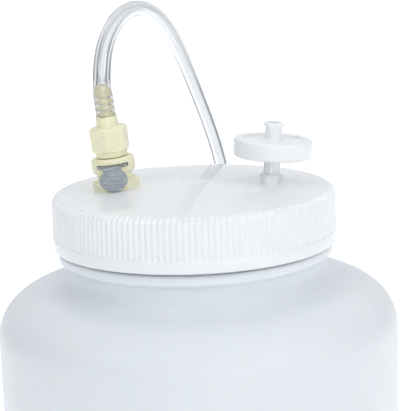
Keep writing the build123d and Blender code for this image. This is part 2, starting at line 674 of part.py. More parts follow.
def vent_port():
    """Bulkhead with a hex base, ribbed barrel and tapered socket."""
    corner = PORT_BASE_ACROSS_FLATS / sqrt(3)
    shape = hexagon(PORT_BASE_ACROSS_FLATS, VENT_SEAT, PORT_BASE_TOP)
    shape &= turned(
        (0, VENT_SEAT), (corner, VENT_SEAT), (corner, PORT_BASE_TOP - 0.5),
        (corner - 0.65, PORT_BASE_TOP), (0, PORT_BASE_TOP),
    )
    shape += rod(PORT_BARREL_RADIUS - PORT_RIB_HEIGHT, VENT_SEAT, PORT_BARREL_TOP)
    for i in range(PORT_RIB_COUNT):
        rib = Pos(PORT_BARREL_RADIUS - 0.5, 0, (PORT_BASE_TOP + PORT_BARREL_TOP - 0.6) / 2) * Box(
            1.0, 0.7, PORT_BARREL_TOP - 0.6 - PORT_BASE_TOP
        )
        shape += Rot(0, 0, i * 360 / PORT_RIB_COUNT) * rib
    shape += rod(PORT_STEM_RADIUS, PORT_STEM_BOTTOM, VENT_SEAT)
    socket_floor = PORT_BARREL_TOP - LUER_DEPTH - 0.5
    hollow = turned(
        (0, PORT_STEM_BOTTOM - 1), (PORT_PASSAGE_RADIUS, PORT_STEM_BOTTOM - 1),
        (PORT_PASSAGE_RADIUS, socket_floor), (luer_radius(LUER_DEPTH + 0.5), socket_floor),
        (LUER_MOUTH_RADIUS, PORT_BARREL_TOP), (LUER_MOUTH_RADIUS, PORT_BARREL_TOP + 1),
        (0, PORT_BARREL_TOP + 1),
    )
    return shape - hollow


def vent_port_washer():
    """Flat washer under the cap at the vent port."""
    radius = PORT_NUT_ACROSS_FLATS / 2 + 0.4
    return tube(radius, PORT_STEM_RADIUS, under_panel() - PORT_WASHER_THICKNESS, under_panel())


def vent_port_nut():
    """Lock nut of the vent port."""
    top = under_panel() - PORT_WASHER_THICKNESS
    bottom = top - PORT_NUT_THICKNESS
    return hexagon(PORT_NUT_ACROSS_FLATS, bottom, top) - rod(PORT_STEM_RADIUS, bottom - 1, top + 1)


# ---- Disc filter ----
FILTER_MIDDLE = (FILTER_BOTTOM + FILTER_TOP) / 2


def filter_ring():
    """Rim that is moulded over the edges of both halves."""
    window, inner = FILTER_WINDOW_RADIUS, FILTER_CLAMP_RADIUS
    low = FILTER_MIDDLE - MEMBRANE_HALF - FILTER_PLATE - CHAMBER_DEPTH
    high = FILTER_TOP - FILTER_CLAMP_EDGE
    return turned(
        (window, FILTER_BOTTOM, 0.3), (FILTER_RADIUS, FILTER_BOTTOM, FILTER_ROUNDING),
        (FILTER_RADIUS, FILTER_TOP, FILTER_ROUNDING), (window, FILTER_TOP, 0.3),
        (window, high), (inner, high), (inner, low), (window, low),
    )


def filter_half_plate(face, outer, window_face):
    """Round plate with a shallow chamber beside the membrane, before its hub is added."""
    step = 1 if outer > face else -1
    chamber = face + step * CHAMBER_DEPTH
    return turned(
        (0, chamber), (FILTER_CHAMBER_RADIUS, chamber), (MEMBRANE_RADIUS, face),
        (FILTER_CLAMP_RADIUS, face), (FILTER_CLAMP_RADIUS, outer),
        (FILTER_WINDOW_RADIUS, outer), (FILTER_WINDOW_RADIUS, window_face), (0, window_face),
    )


def filter_inlet():
    """Upper half: plate and a hub with a tapered socket and two locking lugs."""
    face = FILTER_MIDDLE + MEMBRANE_HALF
    window_face = FILTER_TOP - FILTER_WINDOW_STEP
    shape = filter_half_plate(face, FILTER_TOP - FILTER_CLAMP_EDGE, window_face)
    shape += turned(
        (0, window_face - 0.5), (HUB_RADIUS + 0.35, window_face - 0.5), (HUB_RADIUS + 0.35, window_face),
        (HUB_RADIUS, window_face + 0.6), (HUB_RADIUS, HUB_TOP - 0.4, 0.2), (0, HUB_TOP),
    )
    lug_start = HUB_TOP - LUG_THICKNESS - 0.7
    lug = turned(
        (0, lug_start), (HUB_RADIUS, lug_start),
        (LUG_RADIUS, HUB_TOP - LUG_THICKNESS, 0.2), (LUG_RADIUS, HUB_TOP - 0.3, 0.25),
        (LUG_RADIUS - 0.7, HUB_TOP, 0.25), (0, HUB_TOP),
    )
    shape += lug & Pos(0, 0, HUB_TOP) * Box(2 * LUG_RADIUS + 1, LUG_FLAT_WIDTH, 6)
    socket_floor = HUB_TOP - LUER_DEPTH
    hollow = turned(
        (0, face - 1), (FILTER_PASSAGE_RADIUS, face - 1), (FILTER_PASSAGE_RADIUS, socket_floor),
        (luer_radius(LUER_DEPTH), socket_floor), (LUER_MOUTH_RADIUS, HUB_TOP),
        (LUER_MOUTH_RADIUS, HUB_TOP + 1), (0, HUB_TOP + 1),
    )
    return shape - hollow


def filter_outlet():
    """Lower half: plate and a male taper that slips into the vent port."""
    face = FILTER_MIDDLE - MEMBRANE_HALF
    plate_low = face - FILTER_PLATE - CHAMBER_DEPTH
    window_face = FILTER_BOTTOM + FILTER_WINDOW_STEP
    shape = filter_half_plate(face, plate_low, window_face)
    slip_top = PORT_BARREL_TOP + 0.1
    tip = PORT_BARREL_TOP - LUER_DEPTH
    root = window_face + 0.3
    shape += turned((0, slip_top), (2.9, slip_top), (3.1, root), (0, root))
    shape += turned(
        (0, tip), (luer_radius(LUER_DEPTH) - LUER_GAP, tip),
        (luer_radius(0) - LUER_GAP, PORT_BARREL_TOP), (luer_radius(0) - LUER_GAP, slip_top + 0.1),
        (0, slip_top + 0.1),
    )
    return shape - rod(SLIP_PASSAGE_RADIUS, tip - 1, face + 1)


def filter_membrane():
    """Thin membrane disc pinched between the two halves."""
    return rod(MEMBRANE_RADIUS, FILTER_MIDDLE - MEMBRANE_HALF, FILTER_MIDDLE + MEMBRANE_HALF)


# ---- Hose ----
def hose():
    """Flexible tube, as straight runs joined by tangent arcs."""
    start = COUPLING.from_local_coords(Vector(0, 0, BOSS_TOP))
    first = COUPLING.from_local_coords(Vector(0, 0, BARB_END))
    points = [start, first] + [Vector(*p) for p in HOSE_ROUTE]
    radii = []
    for before, corner, after in zip(points, points[1:], points[2:]):
        run_in, run_out = corner - before, after - corner
        turn = radians(run_in.get_angle(run_out))
        radii.append(0.45 * min(run_in.length, run_out.length) / tan(turn / 2))
    path = FilletPolyline(*points, radius=radii)
    section = Plane(origin=path @ 0, z_dir=path % 0) * (Circle(HOSE_RADIUS) - Circle(HOSE_BORE_RADIUS))
    shape = sweep(section, path)
    area = pi * (HOSE_RADIUS ** 2 - HOSE_BORE_RADIUS ** 2)
    print("hose arc radii:", [round(r, 1) for r in radii])
    print("hose tube length:", round(path.length, 1), "volume:", round(shape.volume, 1),
          "section x length:", round(area * path.length, 1))
    return shape


def hose_coil():
    """Outer shape of the wound length of hose that lies behind the bottle."""
    rounding = HOSE_RADIUS * 0.8
    ring = turned(
        (COIL_INNER_RADIUS, COIL_BOTTOM, rounding), (COIL_OUTER_RADIUS, COIL_BOTTOM, rounding),
        (COIL_OUTER_RADIUS, COIL_TOP, rounding), (COIL_INNER_RADIUS, COIL_TOP, rounding),
    )
    return Pos(*COIL_CENTRE, 0) * ring


def coil_tie():
    """Strap round the coil's section, on its far side."""
    width = COIL_OUTER_RADIUS - COIL_INNER_RADIUS
    height = COIL_TOP - COIL_BOTTOM
    rounding = HOSE_RADIUS * 0.8
    outer = RectangleRounded(
        width + 2 * TIE_THICKNESS, height + 2 * TIE_THICKNESS, rounding + TIE_THICKNESS
    )
    strap = extrude(Plane.XZ * outer, TIE_WIDTH / 2, both=True)
    middle = (COIL_OUTER_RADIUS + COIL_INNER_RADIUS) / 2
    strap = Pos(middle, 0, (COIL_TOP + COIL_BOTTOM) / 2) * strap
    strap = Pos(*COIL_CENTRE, 0) * (Rot(0, 0, TIE_ANGLE) * strap)
    return strap - hose_coil()


# ---- Every node, placed and written ----
NODES = {
    "bottle": bottle(),
    "cap_gasket": cap_gasket(),
    "screw_cap": screw_cap(),
    "coupling_body": COUPLING.location * coupling_body(),
    "coupling_washer": COUPLING.location * coupling_washer(),
    "coupling_nut": COUPLING.location * coupling_nut(),
    "latch_plate": COUPLING.location * latch_plate(),
    "latch_spring": COUPLING.location * latch_spring(),
    "body_poppet": COUPLING.location * body_poppet(),
    "body_poppet_ring": COUPLING.location * body_poppet_ring(),
    "body_valve_spring": COUPLING.location * body_valve_spring(),
    "insert_body": COUPLING.location * insert_body(),
    "insert_barb": COUPLING.location * insert_barb(),
    "insert_ring": COUPLING.location * insert_ring(),
    "insert_poppet": COUPLING.location * insert_poppet(),
    "insert_poppet_ring": COUPLING.location * insert_poppet_ring(),
    "insert_valve_spring": COUPLING.location * insert_valve_spring(),
    "vent_port": VENT.location * vent_port(),
    "vent_port_washer": VENT.location * vent_port_washer(),
    "vent_port_nut": VENT.location * vent_port_nut(),
    "filter_ring": VENT.location * filter_ring(),
    "filter_inlet": VENT.location * filter_inlet(),
    "filter_outlet": VENT.location * filter_outlet(),
    "filter_membrane": VENT.location * filter_membrane(),
    "hose": hose(),
    "hose_coil": hose_coil(),
    "coil_tie": coil_tie(),
}

for name, shape in NODES.items():
    export_step(shape, f"parts/{name}.step")
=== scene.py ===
import math

import bmesh
import bpy
from mathutils import Matrix, Vector, noise


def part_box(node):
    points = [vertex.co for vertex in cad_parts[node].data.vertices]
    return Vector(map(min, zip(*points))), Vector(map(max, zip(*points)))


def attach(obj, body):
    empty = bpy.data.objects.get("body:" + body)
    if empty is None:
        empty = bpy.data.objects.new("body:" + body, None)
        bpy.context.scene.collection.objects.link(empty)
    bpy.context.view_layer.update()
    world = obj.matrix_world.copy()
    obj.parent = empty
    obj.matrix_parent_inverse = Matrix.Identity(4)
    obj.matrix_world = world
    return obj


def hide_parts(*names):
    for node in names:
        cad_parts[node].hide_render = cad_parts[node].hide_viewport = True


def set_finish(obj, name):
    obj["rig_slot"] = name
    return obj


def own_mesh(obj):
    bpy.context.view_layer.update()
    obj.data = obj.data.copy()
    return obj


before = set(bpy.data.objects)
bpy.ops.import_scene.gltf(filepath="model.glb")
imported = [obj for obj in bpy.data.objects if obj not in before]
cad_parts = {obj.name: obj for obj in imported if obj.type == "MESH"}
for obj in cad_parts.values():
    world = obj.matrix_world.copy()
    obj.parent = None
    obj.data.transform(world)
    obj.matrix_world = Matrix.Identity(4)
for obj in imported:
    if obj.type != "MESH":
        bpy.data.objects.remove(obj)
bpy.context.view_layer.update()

# The hose's route is in metres, as the frame is. Every other size is in millimetres,
# scaled where its mesh is made.
MM = 0.001
TAU = 2 * math.pi

# ---- Places and sizes that the looks share with the frame ----
RIM_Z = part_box("bottle")[1].z / MM
CAP_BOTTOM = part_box("screw_cap")[0].z / MM
DOME_TOP = 252.0
DOME_EDGE_RADIUS = 51.4
DOME_DROP = 3.0
DOME_SPHERE = (DOME_EDGE_RADIUS ** 2 + DOME_DROP ** 2) / (2 * DOME_DROP)
HOSE_RADIUS = 3.2
HOSE_BORE = 1.6
BOSS_TOP = 27.7
BARB_END = 39.8


def dome_height(radius):
    """Height of the cap's domed top at a radius from its centre."""
    return DOME_TOP - DOME_SPHERE + math.sqrt(DOME_SPHERE ** 2 - radius ** 2)


def port_matrix(offset, lean):
    """Millimetre frame of a fitting on the dome, at an offset along X and leaning towards +X."""
    place = Matrix.Translation((offset, 0, dome_height(abs(offset))))
    return place @ Matrix.Rotation(math.radians(lean), 4, "Y")


COUPLING = port_matrix(-29.5, -5.6)
VENT = port_matrix(30.2, 4.5)


# ---- Camera ----
CAMERA_PLACE = (0.0023741, -0.615285, 0.3719204)
CAMERA_PITCH, CAMERA_ROLL = 11.90, -2.19  # degrees
CAMERA_LENS = 146.15


def add_camera():
    """Camera at the photograph's view: in front, a little above, with a slight roll."""
    pitch, roll = math.radians(CAMERA_PITCH), math.radians(CAMERA_ROLL)
    data = bpy.data.cameras.new("camera")
    data.sensor_fit = "HORIZONTAL"
    data.sensor_width = 36.0
    data.lens = CAMERA_LENS
    data.clip_start, data.clip_end = 0.05, 60.0
    camera = bpy.data.objects.new("camera", data)
    turn = Matrix.Rotation(math.pi / 2 - pitch, 4, "X") @ Matrix.Rotation(roll, 4, "Z")
    camera.matrix_world = Matrix.Translation(CAMERA_PLACE) @ turn
    bpy.context.scene.collection.objects.link(camera)
    bpy.context.scene.camera = camera


# ---- Mesh helpers ----
def smoothstep(low, high, value):
    t = min(1.0, max(0.0, (value - low) / (high - low)))
    return t * t * (3 - 2 * t)


def make_object(name, vertices, faces, sharp=35.0, scale=MM):
    """Mesh object from points and faces, smooth except over edges sharper than an angle."""
    mesh = bpy.data.meshes.new(name)
    mesh.from_pydata([Vector(v) * scale for v in vertices], [], faces)
    mesh.update()
    finish_mesh(mesh, sharp)
    made = bpy.data.objects.new(name, mesh)
    bpy.context.scene.collection.objects.link(made)
    return made


def finish_mesh(mesh, sharp):
    """Turns the faces outwards and shades the mesh smooth between its sharp edges."""
    mesh.validate()
    work = bmesh.new()
    work.from_mesh(mesh)
    bmesh.ops.recalc_face_normals(work, faces=work.faces)
    work.to_mesh(mesh)
    work.free()
    mesh.polygons.foreach_set("use_smooth", [True] * len(mesh.polygons))
    mesh.set_sharp_from_angle(angle=math.radians(sharp))
    mesh.update()


def skin(rings, closed=False):
    """Vertices and faces of rings joined in order. A ring's length may be a multiple of the next one's."""
    vertices, faces, starts = [], [], []
    for ring in rings:
        starts.append(len(vertices))
        vertices += ring
    if closed:
        rings, starts = rings + rings[:1], starts + starts[:1]
    for k in range(len(rings) - 1):
        a, b = starts[k], starts[k + 1]
        count_a, count_b = len(rings[k]), len(rings[k + 1])
        few, many = min(count_a, count_b), max(count_a, count_b)
        step = many // few
        for j in range(few if few > 1 else many):
            if few == 1:
                nxt = (j + 1) % many
                face = [b, a + nxt, a + j] if count_b == 1 else [a, b + j, b + nxt]
            elif count_a >= count_b:
                outer = [a + (j * step + i) % many for i in range(step + 1)]
                face = outer[::-1] + [b + j, b + (j + 1) % few]
            else:
                outer = [b + (j * step + i) % many for i in range(step + 1)]
                face = outer + [a + (j + 1) % few, a + j]
            faces.append(face)
    return vertices, faces


def circle(radius, height, count, matrix=None):
    """Ring of points about Z. Radius may be a function of the angle."""
    points = []
    for i in range(count):
        angle = TAU * i / count
        reach = radius(angle) if callable(radius) else radius
        point = Vector((reach * math.cos(angle), reach * math.sin(angle), height))
        points.append(matrix @ point if matrix else point)
    return points


def arc(centre, radii, start, end, count):
    """Points (radius, height) on an elliptical arc, angles in degrees."""
    points = []
    for i in range(count):
        angle = math.radians(start + (end - start) * i / (count - 1))
        points.append((centre[0] + radii[0] * math.cos(angle), centre[1] + radii[1] * math.sin(angle)))
    return points


def spaced(start, end, count):
    """Points between two (radius, height) points, without the first."""
    return [
        (start[0] + (end[0] - start[0]) * i / count, start[1] + (end[1] - start[1]) * i / count)
        for i in range(1, count + 1)
    ]


def thread_ridge(root, crest, start, pitch, turns, count=72):
    """Closed helical ridge whose ends run out to nothing."""
    half_base, half_crest, run_out = 1.3, 0.6, 0.08
    steps = int(count * turns)
    vertices, faces = [], []
    for i in range(steps + 1):
        share = i / steps
        height = smoothstep(0, run_out, share) * smoothstep(0, run_out, 1 - share)
        angle = TAU * turns * share
        z = start + pitch * turns * share
        reach = root + (crest - root) * height
        for radius, dz in ((root, -half_base), (reach, -half_crest), (reach, half_crest), (root, half_base)):
            vertices.append((radius * math.cos(angle), radius * math.sin(angle), z + dz))
    for i in range(steps):
        for k in range(4):
            a, b = 4 * i + k, 4 * i + (k + 1) % 4
            faces.append([a, b, b + 4, a + 4] if crest > root else [a + 4, b + 4, b, a])
    last = 4 * steps
    ends = [[3, 2, 1, 0], [last, last + 1, last + 2, last + 3]]
    faces += ends if crest > root else [end[::-1] for end in ends]
    return vertices, faces


def joined(*shells):
    """One list of vertices and faces from several."""
    vertices, faces = [], []
    for points, polygons in shells:
        offset = len(vertices)
        vertices += points
        faces += [[offset + i for i in polygon] for polygon in polygons]
    return vertices, faces


def rod_tool(name, matrix, radius, bottom, top):
    """Cylinder for cutting, along a matrix's Z."""
    ends = [[matrix @ Vector((0, 0, z))] for z in (bottom, top)]
    rings = [ends[0], circle(radius, bottom, 64, matrix), circle(radius, top, 64, matrix), ends[1]]
    return make_object(name, *skin(rings))


def block(name, low, high, matrix):
    """Box for cutting, given by two corners in a matrix's frame."""
    corners = [(x, y, z) for z in (low[2], high[2]) for y in (low[1], high[1]) for x in (low[0], high[0])]
    faces = [[0, 2, 3, 1], [4, 5, 7, 6], [0, 1, 5, 4], [2, 6, 7, 3], [0, 4, 6, 2], [1, 3, 7, 5]]
    return make_object(name, [matrix @ Vector(c) for c in corners], faces)


def cut(target, tools, sharp=30):
    """Takes the tools out of a mesh and removes them."""
    for tool in tools:
        modifier = target.modifiers.new("cut", "BOOLEAN")
        modifier.object, modifier.operation, modifier.solver = tool, "DIFFERENCE", "EXACT"
    bpy.context.view_layer.update()
    graph = bpy.context.evaluated_depsgraph_get()
    result = bpy.data.meshes.new_from_object(target.evaluated_get(graph))
    target.modifiers.clear()
    old, target.data = target.data, result
    bpy.data.meshes.remove(old)
    for tool in tools:
        bpy.data.objects.remove(tool)
    finish_mesh(target.data, sharp)


# ---- Fittings: rings about a fitting's own axis ----
def turned(name, profile, matrix, body, slot, node, columns=120, sharp=30):
    """Closed ring of revolution that stands for a CAD node. A profile point is (radius, height)."""
    rings = [circle(radius, height, columns, matrix) for radius, height in profile]
    piece = make_object(name, *skin(rings, closed=True), sharp=sharp)
    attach(piece, body)
    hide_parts(node)
    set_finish(piece, slot)
    return piece


def hexagon(across_flats, limit, rounding=0.22):
    """Radius of a hexagon with corners on X, rounded off and kept inside a round limit."""
    corner = across_flats / math.sqrt(3) - rounding
    soft = 0.07

    def radius(angle):
        flat = across_flats / 2 / math.cos(angle % (TAU / 6) - TAU / 12)
        reach = min(limit, corner)
        return -soft * math.log(math.exp(-(flat - reach) / soft) + 1) + reach

    return radius


def hex_rows(across_flats, limits):
    """Profile points of a hexagon whose round limit runs through (limit, height) stops."""
    rows = []
    for (r0, z0), (r1, z1) in zip(limits, limits[1:]):
        steps = 5 if r0 != r1 else 1
        rows += [
            (hexagon(across_flats, r0 + (r1 - r0) * i / steps), z0 + (z1 - z0) * i / steps)
            for i in range(steps)
        ]
    return rows + [(hexagon(across_flats, limits[-1][0]), limits[-1][1])]


# ---- Coupling, panel half ----
# Heights of every fitting are along its own axis, from the dome's surface.
STEM_RADIUS, STEM_BOTTOM, HOUSING_SEAT = 5.4, -10.0, -0.45
FLANGE_ACROSS_FLATS, FLANGE_CORNER, FLANGE_TOP = 16.0, 9.24, 3.2
WAIST_RADIUS = 6.75
SOCKET_BORE = 4.05
VALVE_BORE, VALVE_PASSAGE = 3.4, 2.4
SLOT_LOW, SLOT_HIGH, SLOT_BACK = 8.6, 9.95, 7.3
SPRING_POCKET_RADIUS, SPRING_POCKET_HEIGHT = 1.6, 4.8


def add_coupling_housing():
    """Panel half of the coupling: stem, hex flange, waist and slotted ring, hollow for the valve."""
    flange = [(8.7, HOUSING_SEAT), (FLANGE_CORNER, 0.1), (FLANGE_CORNER, 2.7), (8.4, FLANGE_TOP)]
    outside = [(2.0, STEM_BOTTOM), (5.1, STEM_BOTTOM), (STEM_RADIUS, -9.7), (STEM_RADIUS, HOUSING_SEAT)]
    outside += hex_rows(FLANGE_ACROSS_FLATS, flange)
    outside += [(7.1, FLANGE_TOP), (6.85, 3.3), (WAIST_RADIUS, 3.55), (WAIST_RADIUS, 5.2), (6.85, 5.6)]
    outside += arc((7.35, 7.0), (1.0, 0.95), -75, 0, 7) + arc((7.0, 10.65), (1.35, 1.35), 0, 90, 9)
    inside = [(5.0, 12.0), (4.35, 11.85), (SOCKET_BORE, 11.5), (SOCKET_BORE, -1.0)]
    inside += [(VALVE_PASSAGE, -1.0), (VALVE_PASSAGE, -2.2), (VALVE_BORE, -2.2)]
    inside += [(VALVE_BORE, -8.8), (2.0, -8.8)]
    profile = outside + inside
    housing = turned("coupling_housing", profile, COUPLING, "cap", "ivory_plastic", "coupling_body", 144)
    slot = block("slot_cutter", (-6.0, -12.0, SLOT_LOW), (6.0, SLOT_BACK, SLOT_HIGH), COUPLING)
    forward = Matrix.Translation((0, 0, SPRING_POCKET_HEIGHT)) @ Matrix.Rotation(math.pi / 2, 4, "X")
    pocket = rod_tool("pocket_cutter", COUPLING @ forward, SPRING_POCKET_RADIUS, 5.1, 9.0)
    cut(housing, [slot, pocket])
    return housing


# ---- Hose half of the coupling ----
NOSE_RADIUS, NOSE_GROOVE = 3.95, 3.0
COLLAR_RADIUS, COLLAR_LOW = 6.1, 12.2
HEX_ACROSS_FLATS, HEX_TOP = 13.6, 23.8
HEX_TURN = 22.0  # degrees
PLUG_RADIUS, PLUG_BOTTOM, TAIL_BORE = 3.4, 18.5, 1.3
BARB_PITCH = 2.5
BARB_FIRST = 0.1
BARB_COUNT = 4
BARB_ROOT, BARB_TIP, BARB_TOP = 1.95, 2.35, 1.85
BARB_LENGTH = BARB_END - BOSS_TOP
BARB_SHAPE = ((0.0, 0.0), (0.12, 0.75), (0.25, 1.0), (0.5, 1.0), (0.75, 0.92), (1.95, 0.0), (2.3, 0.0))
BARB_STOPS = [BARB_FIRST + k * BARB_PITCH + s for k in range(BARB_COUNT - 1) for s, _ in BARB_SHAPE]
BARB_STOPS += [BARB_FIRST + (BARB_COUNT - 1) * BARB_PITCH + s for s in (0.0, 0.12, 0.25, 0.5, 0.9, 2.0)]
BARB_STOPS += [BARB_LENGTH - 0.25, BARB_LENGTH]


def barb_radius(s):
    """Outside of the barbed tail at a distance from its boss."""
    if s <= BARB_FIRST:
        return BARB_ROOT
    tooth = min(BARB_COUNT - 1, int((s - BARB_FIRST) / BARB_PITCH + 1e-6))
    along = s - BARB_FIRST - tooth * BARB_PITCH
    if tooth == BARB_COUNT - 1 and along > 0.5:
        fall = (along - 0.5) / (BARB_LENGTH - BARB_FIRST - tooth * BARB_PITCH - 0.5)
        return BARB_TIP + (BARB_TOP - BARB_TIP) * fall - (0.12 if fall > 0.999 else 0.0)
    for (s0, h0), (s1, h1) in zip(BARB_SHAPE, BARB_SHAPE[1:]):
        if along <= s1:
            return BARB_ROOT + (BARB_TIP - BARB_ROOT) * (h0 + (h1 - h0) * (along - s0) / (s1 - s0))
    return BARB_ROOT


def add_insert():
    """Hose half: nose, collar and hex, with the barbed tail plugged into it."""
    turn = COUPLING @ Matrix.Rotation(math.radians(HEX_TURN), 4, "Z")
    nose = [(1.7, -0.8), (3.55, -0.8), (NOSE_RADIUS, 0.0), (NOSE_RADIUS, 4.5), (NOSE_GROOVE, 4.5)]
    nose += [(NOSE_GROOVE, 5.5), (NOSE_RADIUS, 5.5), (NOSE_RADIUS, COLLAR_LOW)]
    collar = [(5.7, COLLAR_LOW), (6.0, 12.32), (COLLAR_RADIUS, 12.6), (COLLAR_RADIUS, 14.2), (6.14, 14.35)]
    hexed = hex_rows(HEX_ACROSS_FLATS, [(6.8, 14.4), (7.9, 15.4), (7.9, 22.75), (6.7, HEX_TOP)])
    hollow = [(PLUG_RADIUS, HEX_TOP), (PLUG_RADIUS, PLUG_BOTTOM), (2.6, PLUG_BOTTOM), (2.6, 0.4), (1.7, 0.4)]
    profile = nose + collar + hexed + hollow
    body = turned("insert_hex", profile, turn, "insert", "ivory_plastic", "insert_body", 144)
    profile = [(TAIL_BORE, PLUG_BOTTOM), (PLUG_RADIUS, PLUG_BOTTOM), (PLUG_RADIUS, HEX_TOP), (4.5, HEX_TOP)]
    profile += [(4.28, 23.95), (4.2, 24.2)] + arc((3.7, BOSS_TOP - 0.5), (0.5, 0.5), 0, 90, 6)
    profile += [(2.1, BOSS_TOP), (BARB_ROOT, BOSS_TOP + 0.05)]
    profile += [(barb_radius(s), BOSS_TOP + s) for s in BARB_STOPS] + [(TAIL_BORE, BARB_END)]
    tail = turned("barbed_tail", profile, COUPLING, "insert", "ivory_plastic", "insert_barb", 96, sharp=40)
    return body, tail


# ---- Vent port ----
VENT_SEAT, VENT_TOP = -0.15, 9.3
BARREL_RADIUS, BARREL_RIB = 2.85, 0.25
BARREL_RIBS = 10
VENT_ACROSS_FLATS = 7.9


def ribbed_barrel(angle):
    """Radius of the barrel, with its ribs."""
    pitch = TAU / BARREL_RIBS
    off = abs((angle + pitch / 2) % pitch - pitch / 2)
    return BARREL_RADIUS + BARREL_RIB * (1 - smoothstep(0.085, 0.15, off))


def add_vent():
    """Vent bulkhead: stem, small hex, ribbed barrel and tapered socket."""
    outside = [(1.3, -9.0), (2.8, -9.0), (3.1, -8.7), (3.1, VENT_SEAT)]
    outside += hex_rows(VENT_ACROSS_FLATS, [(4.45, VENT_SEAT), (4.6, 0.1), (4.6, 2.2), (3.9, 2.8)])
    outside += [(3.03, 2.8), (2.9, 2.95), (ribbed_barrel, 3.1), (ribbed_barrel, 8.4)]
    outside += [(BARREL_RADIUS, 8.7), (BARREL_RADIUS, 9.05), (2.6, VENT_TOP)]
    inside = [(2.25, VENT_TOP), (2.13, 9.15), (1.9, 1.3), (1.3, 1.3)]
    return turned("vent_barrel", outside + inside, VENT, "cap", "milky_pp", "vent_port", 180)


# ---- Filter ----
FILTER_LOW, FILTER_HIGH = 9.5, 16.7
RIM_ROUNDING, LIP_ROUNDING = 1.4, 0.3
HUB_RADIUS, HUB_TOP = 3.2, 22.9


def lug(reach):
    """Radius of the hub where two lugs stand out from it, to a reach."""
    return lambda angle: max(HUB_RADIUS, min(reach, 3.3 / max(1e-6, abs(math.sin(angle)))))


def add_filter():
    """Disc filter: a moulded rim over two halves, each with its hub."""
    low, high = FILTER_LOW, FILTER_HIGH
    rounded, lip = (RIM_ROUNDING, RIM_ROUNDING), (LIP_ROUNDING, LIP_ROUNDING)
    rim = [(12.0, low), (13.0, low)] + arc((13.8, low + RIM_ROUNDING), rounded, -90, 0, 9)
    rim += arc((13.8, high - RIM_ROUNDING), rounded, 0, 90, 9) + [(13.0, high)]
    rim += arc((12.0, high - LIP_ROUNDING), lip, 90, 180, 4)
    rim += [(11.7, high - 0.9), (13.6, high - 0.9), (13.6, 10.9), (11.7, 10.9)]
    rim += arc((12.0, low + LIP_ROUNDING), lip, 180, 255, 4)
    upper = [(1.2, 13.9), (11.6, 13.9), (12.0, 13.2), (13.58, 13.2)]
    upper += [(13.58, high - 0.92), (11.68, high - 0.92), (11.68, high - 0.45)]
    upper += [(11.5, high - 0.35), (7.0, high - 0.35), (4.2, high - 0.35)]
    upper += [(3.7, high - 0.3), (3.35, high - 0.1), (HUB_RADIUS, high + 0.4), (HUB_RADIUS, 20.9)]
    upper += [(lug(3.45), 21.3), (lug(3.85), 21.65), (lug(3.95), 21.8), (lug(3.95), 22.5), (lug(3.75), 22.75)]
    upper += [(3.1, HUB_TOP), (2.3, HUB_TOP), (2.14, 22.75), (1.915, 15.4), (1.2, 15.4)]
    lower = [(1.0, 1.8), (1.75, 1.8), (1.885, 1.95), (2.11, 9.3), (2.11, 9.42), (2.75, 9.42), (2.9, 9.5)]
    lower += [(3.1, 9.75), (3.4, low + 0.35), (11.5, low + 0.35), (11.68, low + 0.45), (11.68, 10.92)]
    lower += [(13.58, 10.92), (13.58, 13.0), (12.0, 13.0), (11.6, 12.3), (1.0, 12.3)]
    parts = (
        ("filter_rim", rim, "filter_ring"),
        ("filter_upper_half", upper, "filter_inlet"),
        ("filter_lower_half", lower, "filter_outlet"),
    )
    return [turned(name, profile, VENT, "filter", "filter_pp", node, 144) for name, profile, node in parts]


# ---- Hose: its line, then the tube round it ----
# The first points follow the barb, which holds the hose straight.
def barb_point(height):
    return (COUPLING @ Vector((0, 0, height))) * MM


HOSE_ROUTE = [
    (-0.0322, 0.007, 0.305),
    (-0.0269, 0.0195, 0.3146),
    (-0.0195, 0.036, 0.317),
    (-0.0118, 0.057, 0.311),
    (-0.0047, 0.077, 0.297),
    (0.003, 0.0885, 0.275),
    (0.0112, 0.090, 0.250),
    (0.0154, 0.0895, 0.227),
    (0.0165, 0.090, 0.200),
    (0.0165, 0.091, 0.160),
    (0.0155, 0.0925, 0.120),
    (0.0145, 0.0945, 0.086),
    (0.014, 0.0966, 0.061),
    (0.014, 0.0995, 0.037),
    (0.014, 0.1115, 0.0163),
    (0.014, 0.1325, 0.0042),
]
COIL_CENTRE = (-0.0242, 0.150)
COIL_OUTER, COIL_INNER = 0.0382, 0.0318
COIL_LOW, COIL_HIGH = 0.0042, 0.0106
COIL_TURNS = 3.5
COIL_STEP = 20  # degrees


def coil_points():
    """Turns of the put-away hose: outer and inner below, then inner and outer on top of them."""
    points = []
    for angle in range(0, int(360 * COIL_TURNS) + 1, COIL_STEP):
        inward = smoothstep(290, 350, angle) - smoothstep(1010, 1070, angle)
        radius = COIL_OUTER + (COIL_INNER - COIL_OUTER) * inward
        height = COIL_LOW + (COIL_HIGH - COIL_LOW) * smoothstep(630, 690, angle)
        turn = math.radians(angle)
        points.append((
            COIL_CENTRE[0] + radius * math.cos(turn), COIL_CENTRE[1] + radius * math.sin(turn), height
        ))
    return points


def spline_line(points, resolution=14):
    """Points that a NURBS spline of order 3 passes through, read from the spline itself."""
    curve = bpy.data.curves.new("route", "CURVE")
    curve.dimensions = "3D"
    curve.resolution_u = resolution
    spline = curve.splines.new("NURBS")
    spline.points.add(len(points) - 1)
    for point, place in zip(spline.points, points):
        point.co = (*place, 1.0)
    spline.order_u = 3
    spline.use_endpoint_u = True
    holder = bpy.data.objects.new("route", curve)
    mesh = bpy.data.meshes.new_from_object(holder)
    line = [v.co.copy() for v in mesh.vertices]
    bpy.data.objects.remove(holder)
    bpy.data.curves.remove(curve)
    bpy.data.meshes.remove(mesh)
    return line


def travelled(line):
    """Distance along a line at each of its points."""
    distances = [0.0]
    for before, after in zip(line, line[1:]):
        distances.append(distances[-1] + (after - before).length)
    return distances


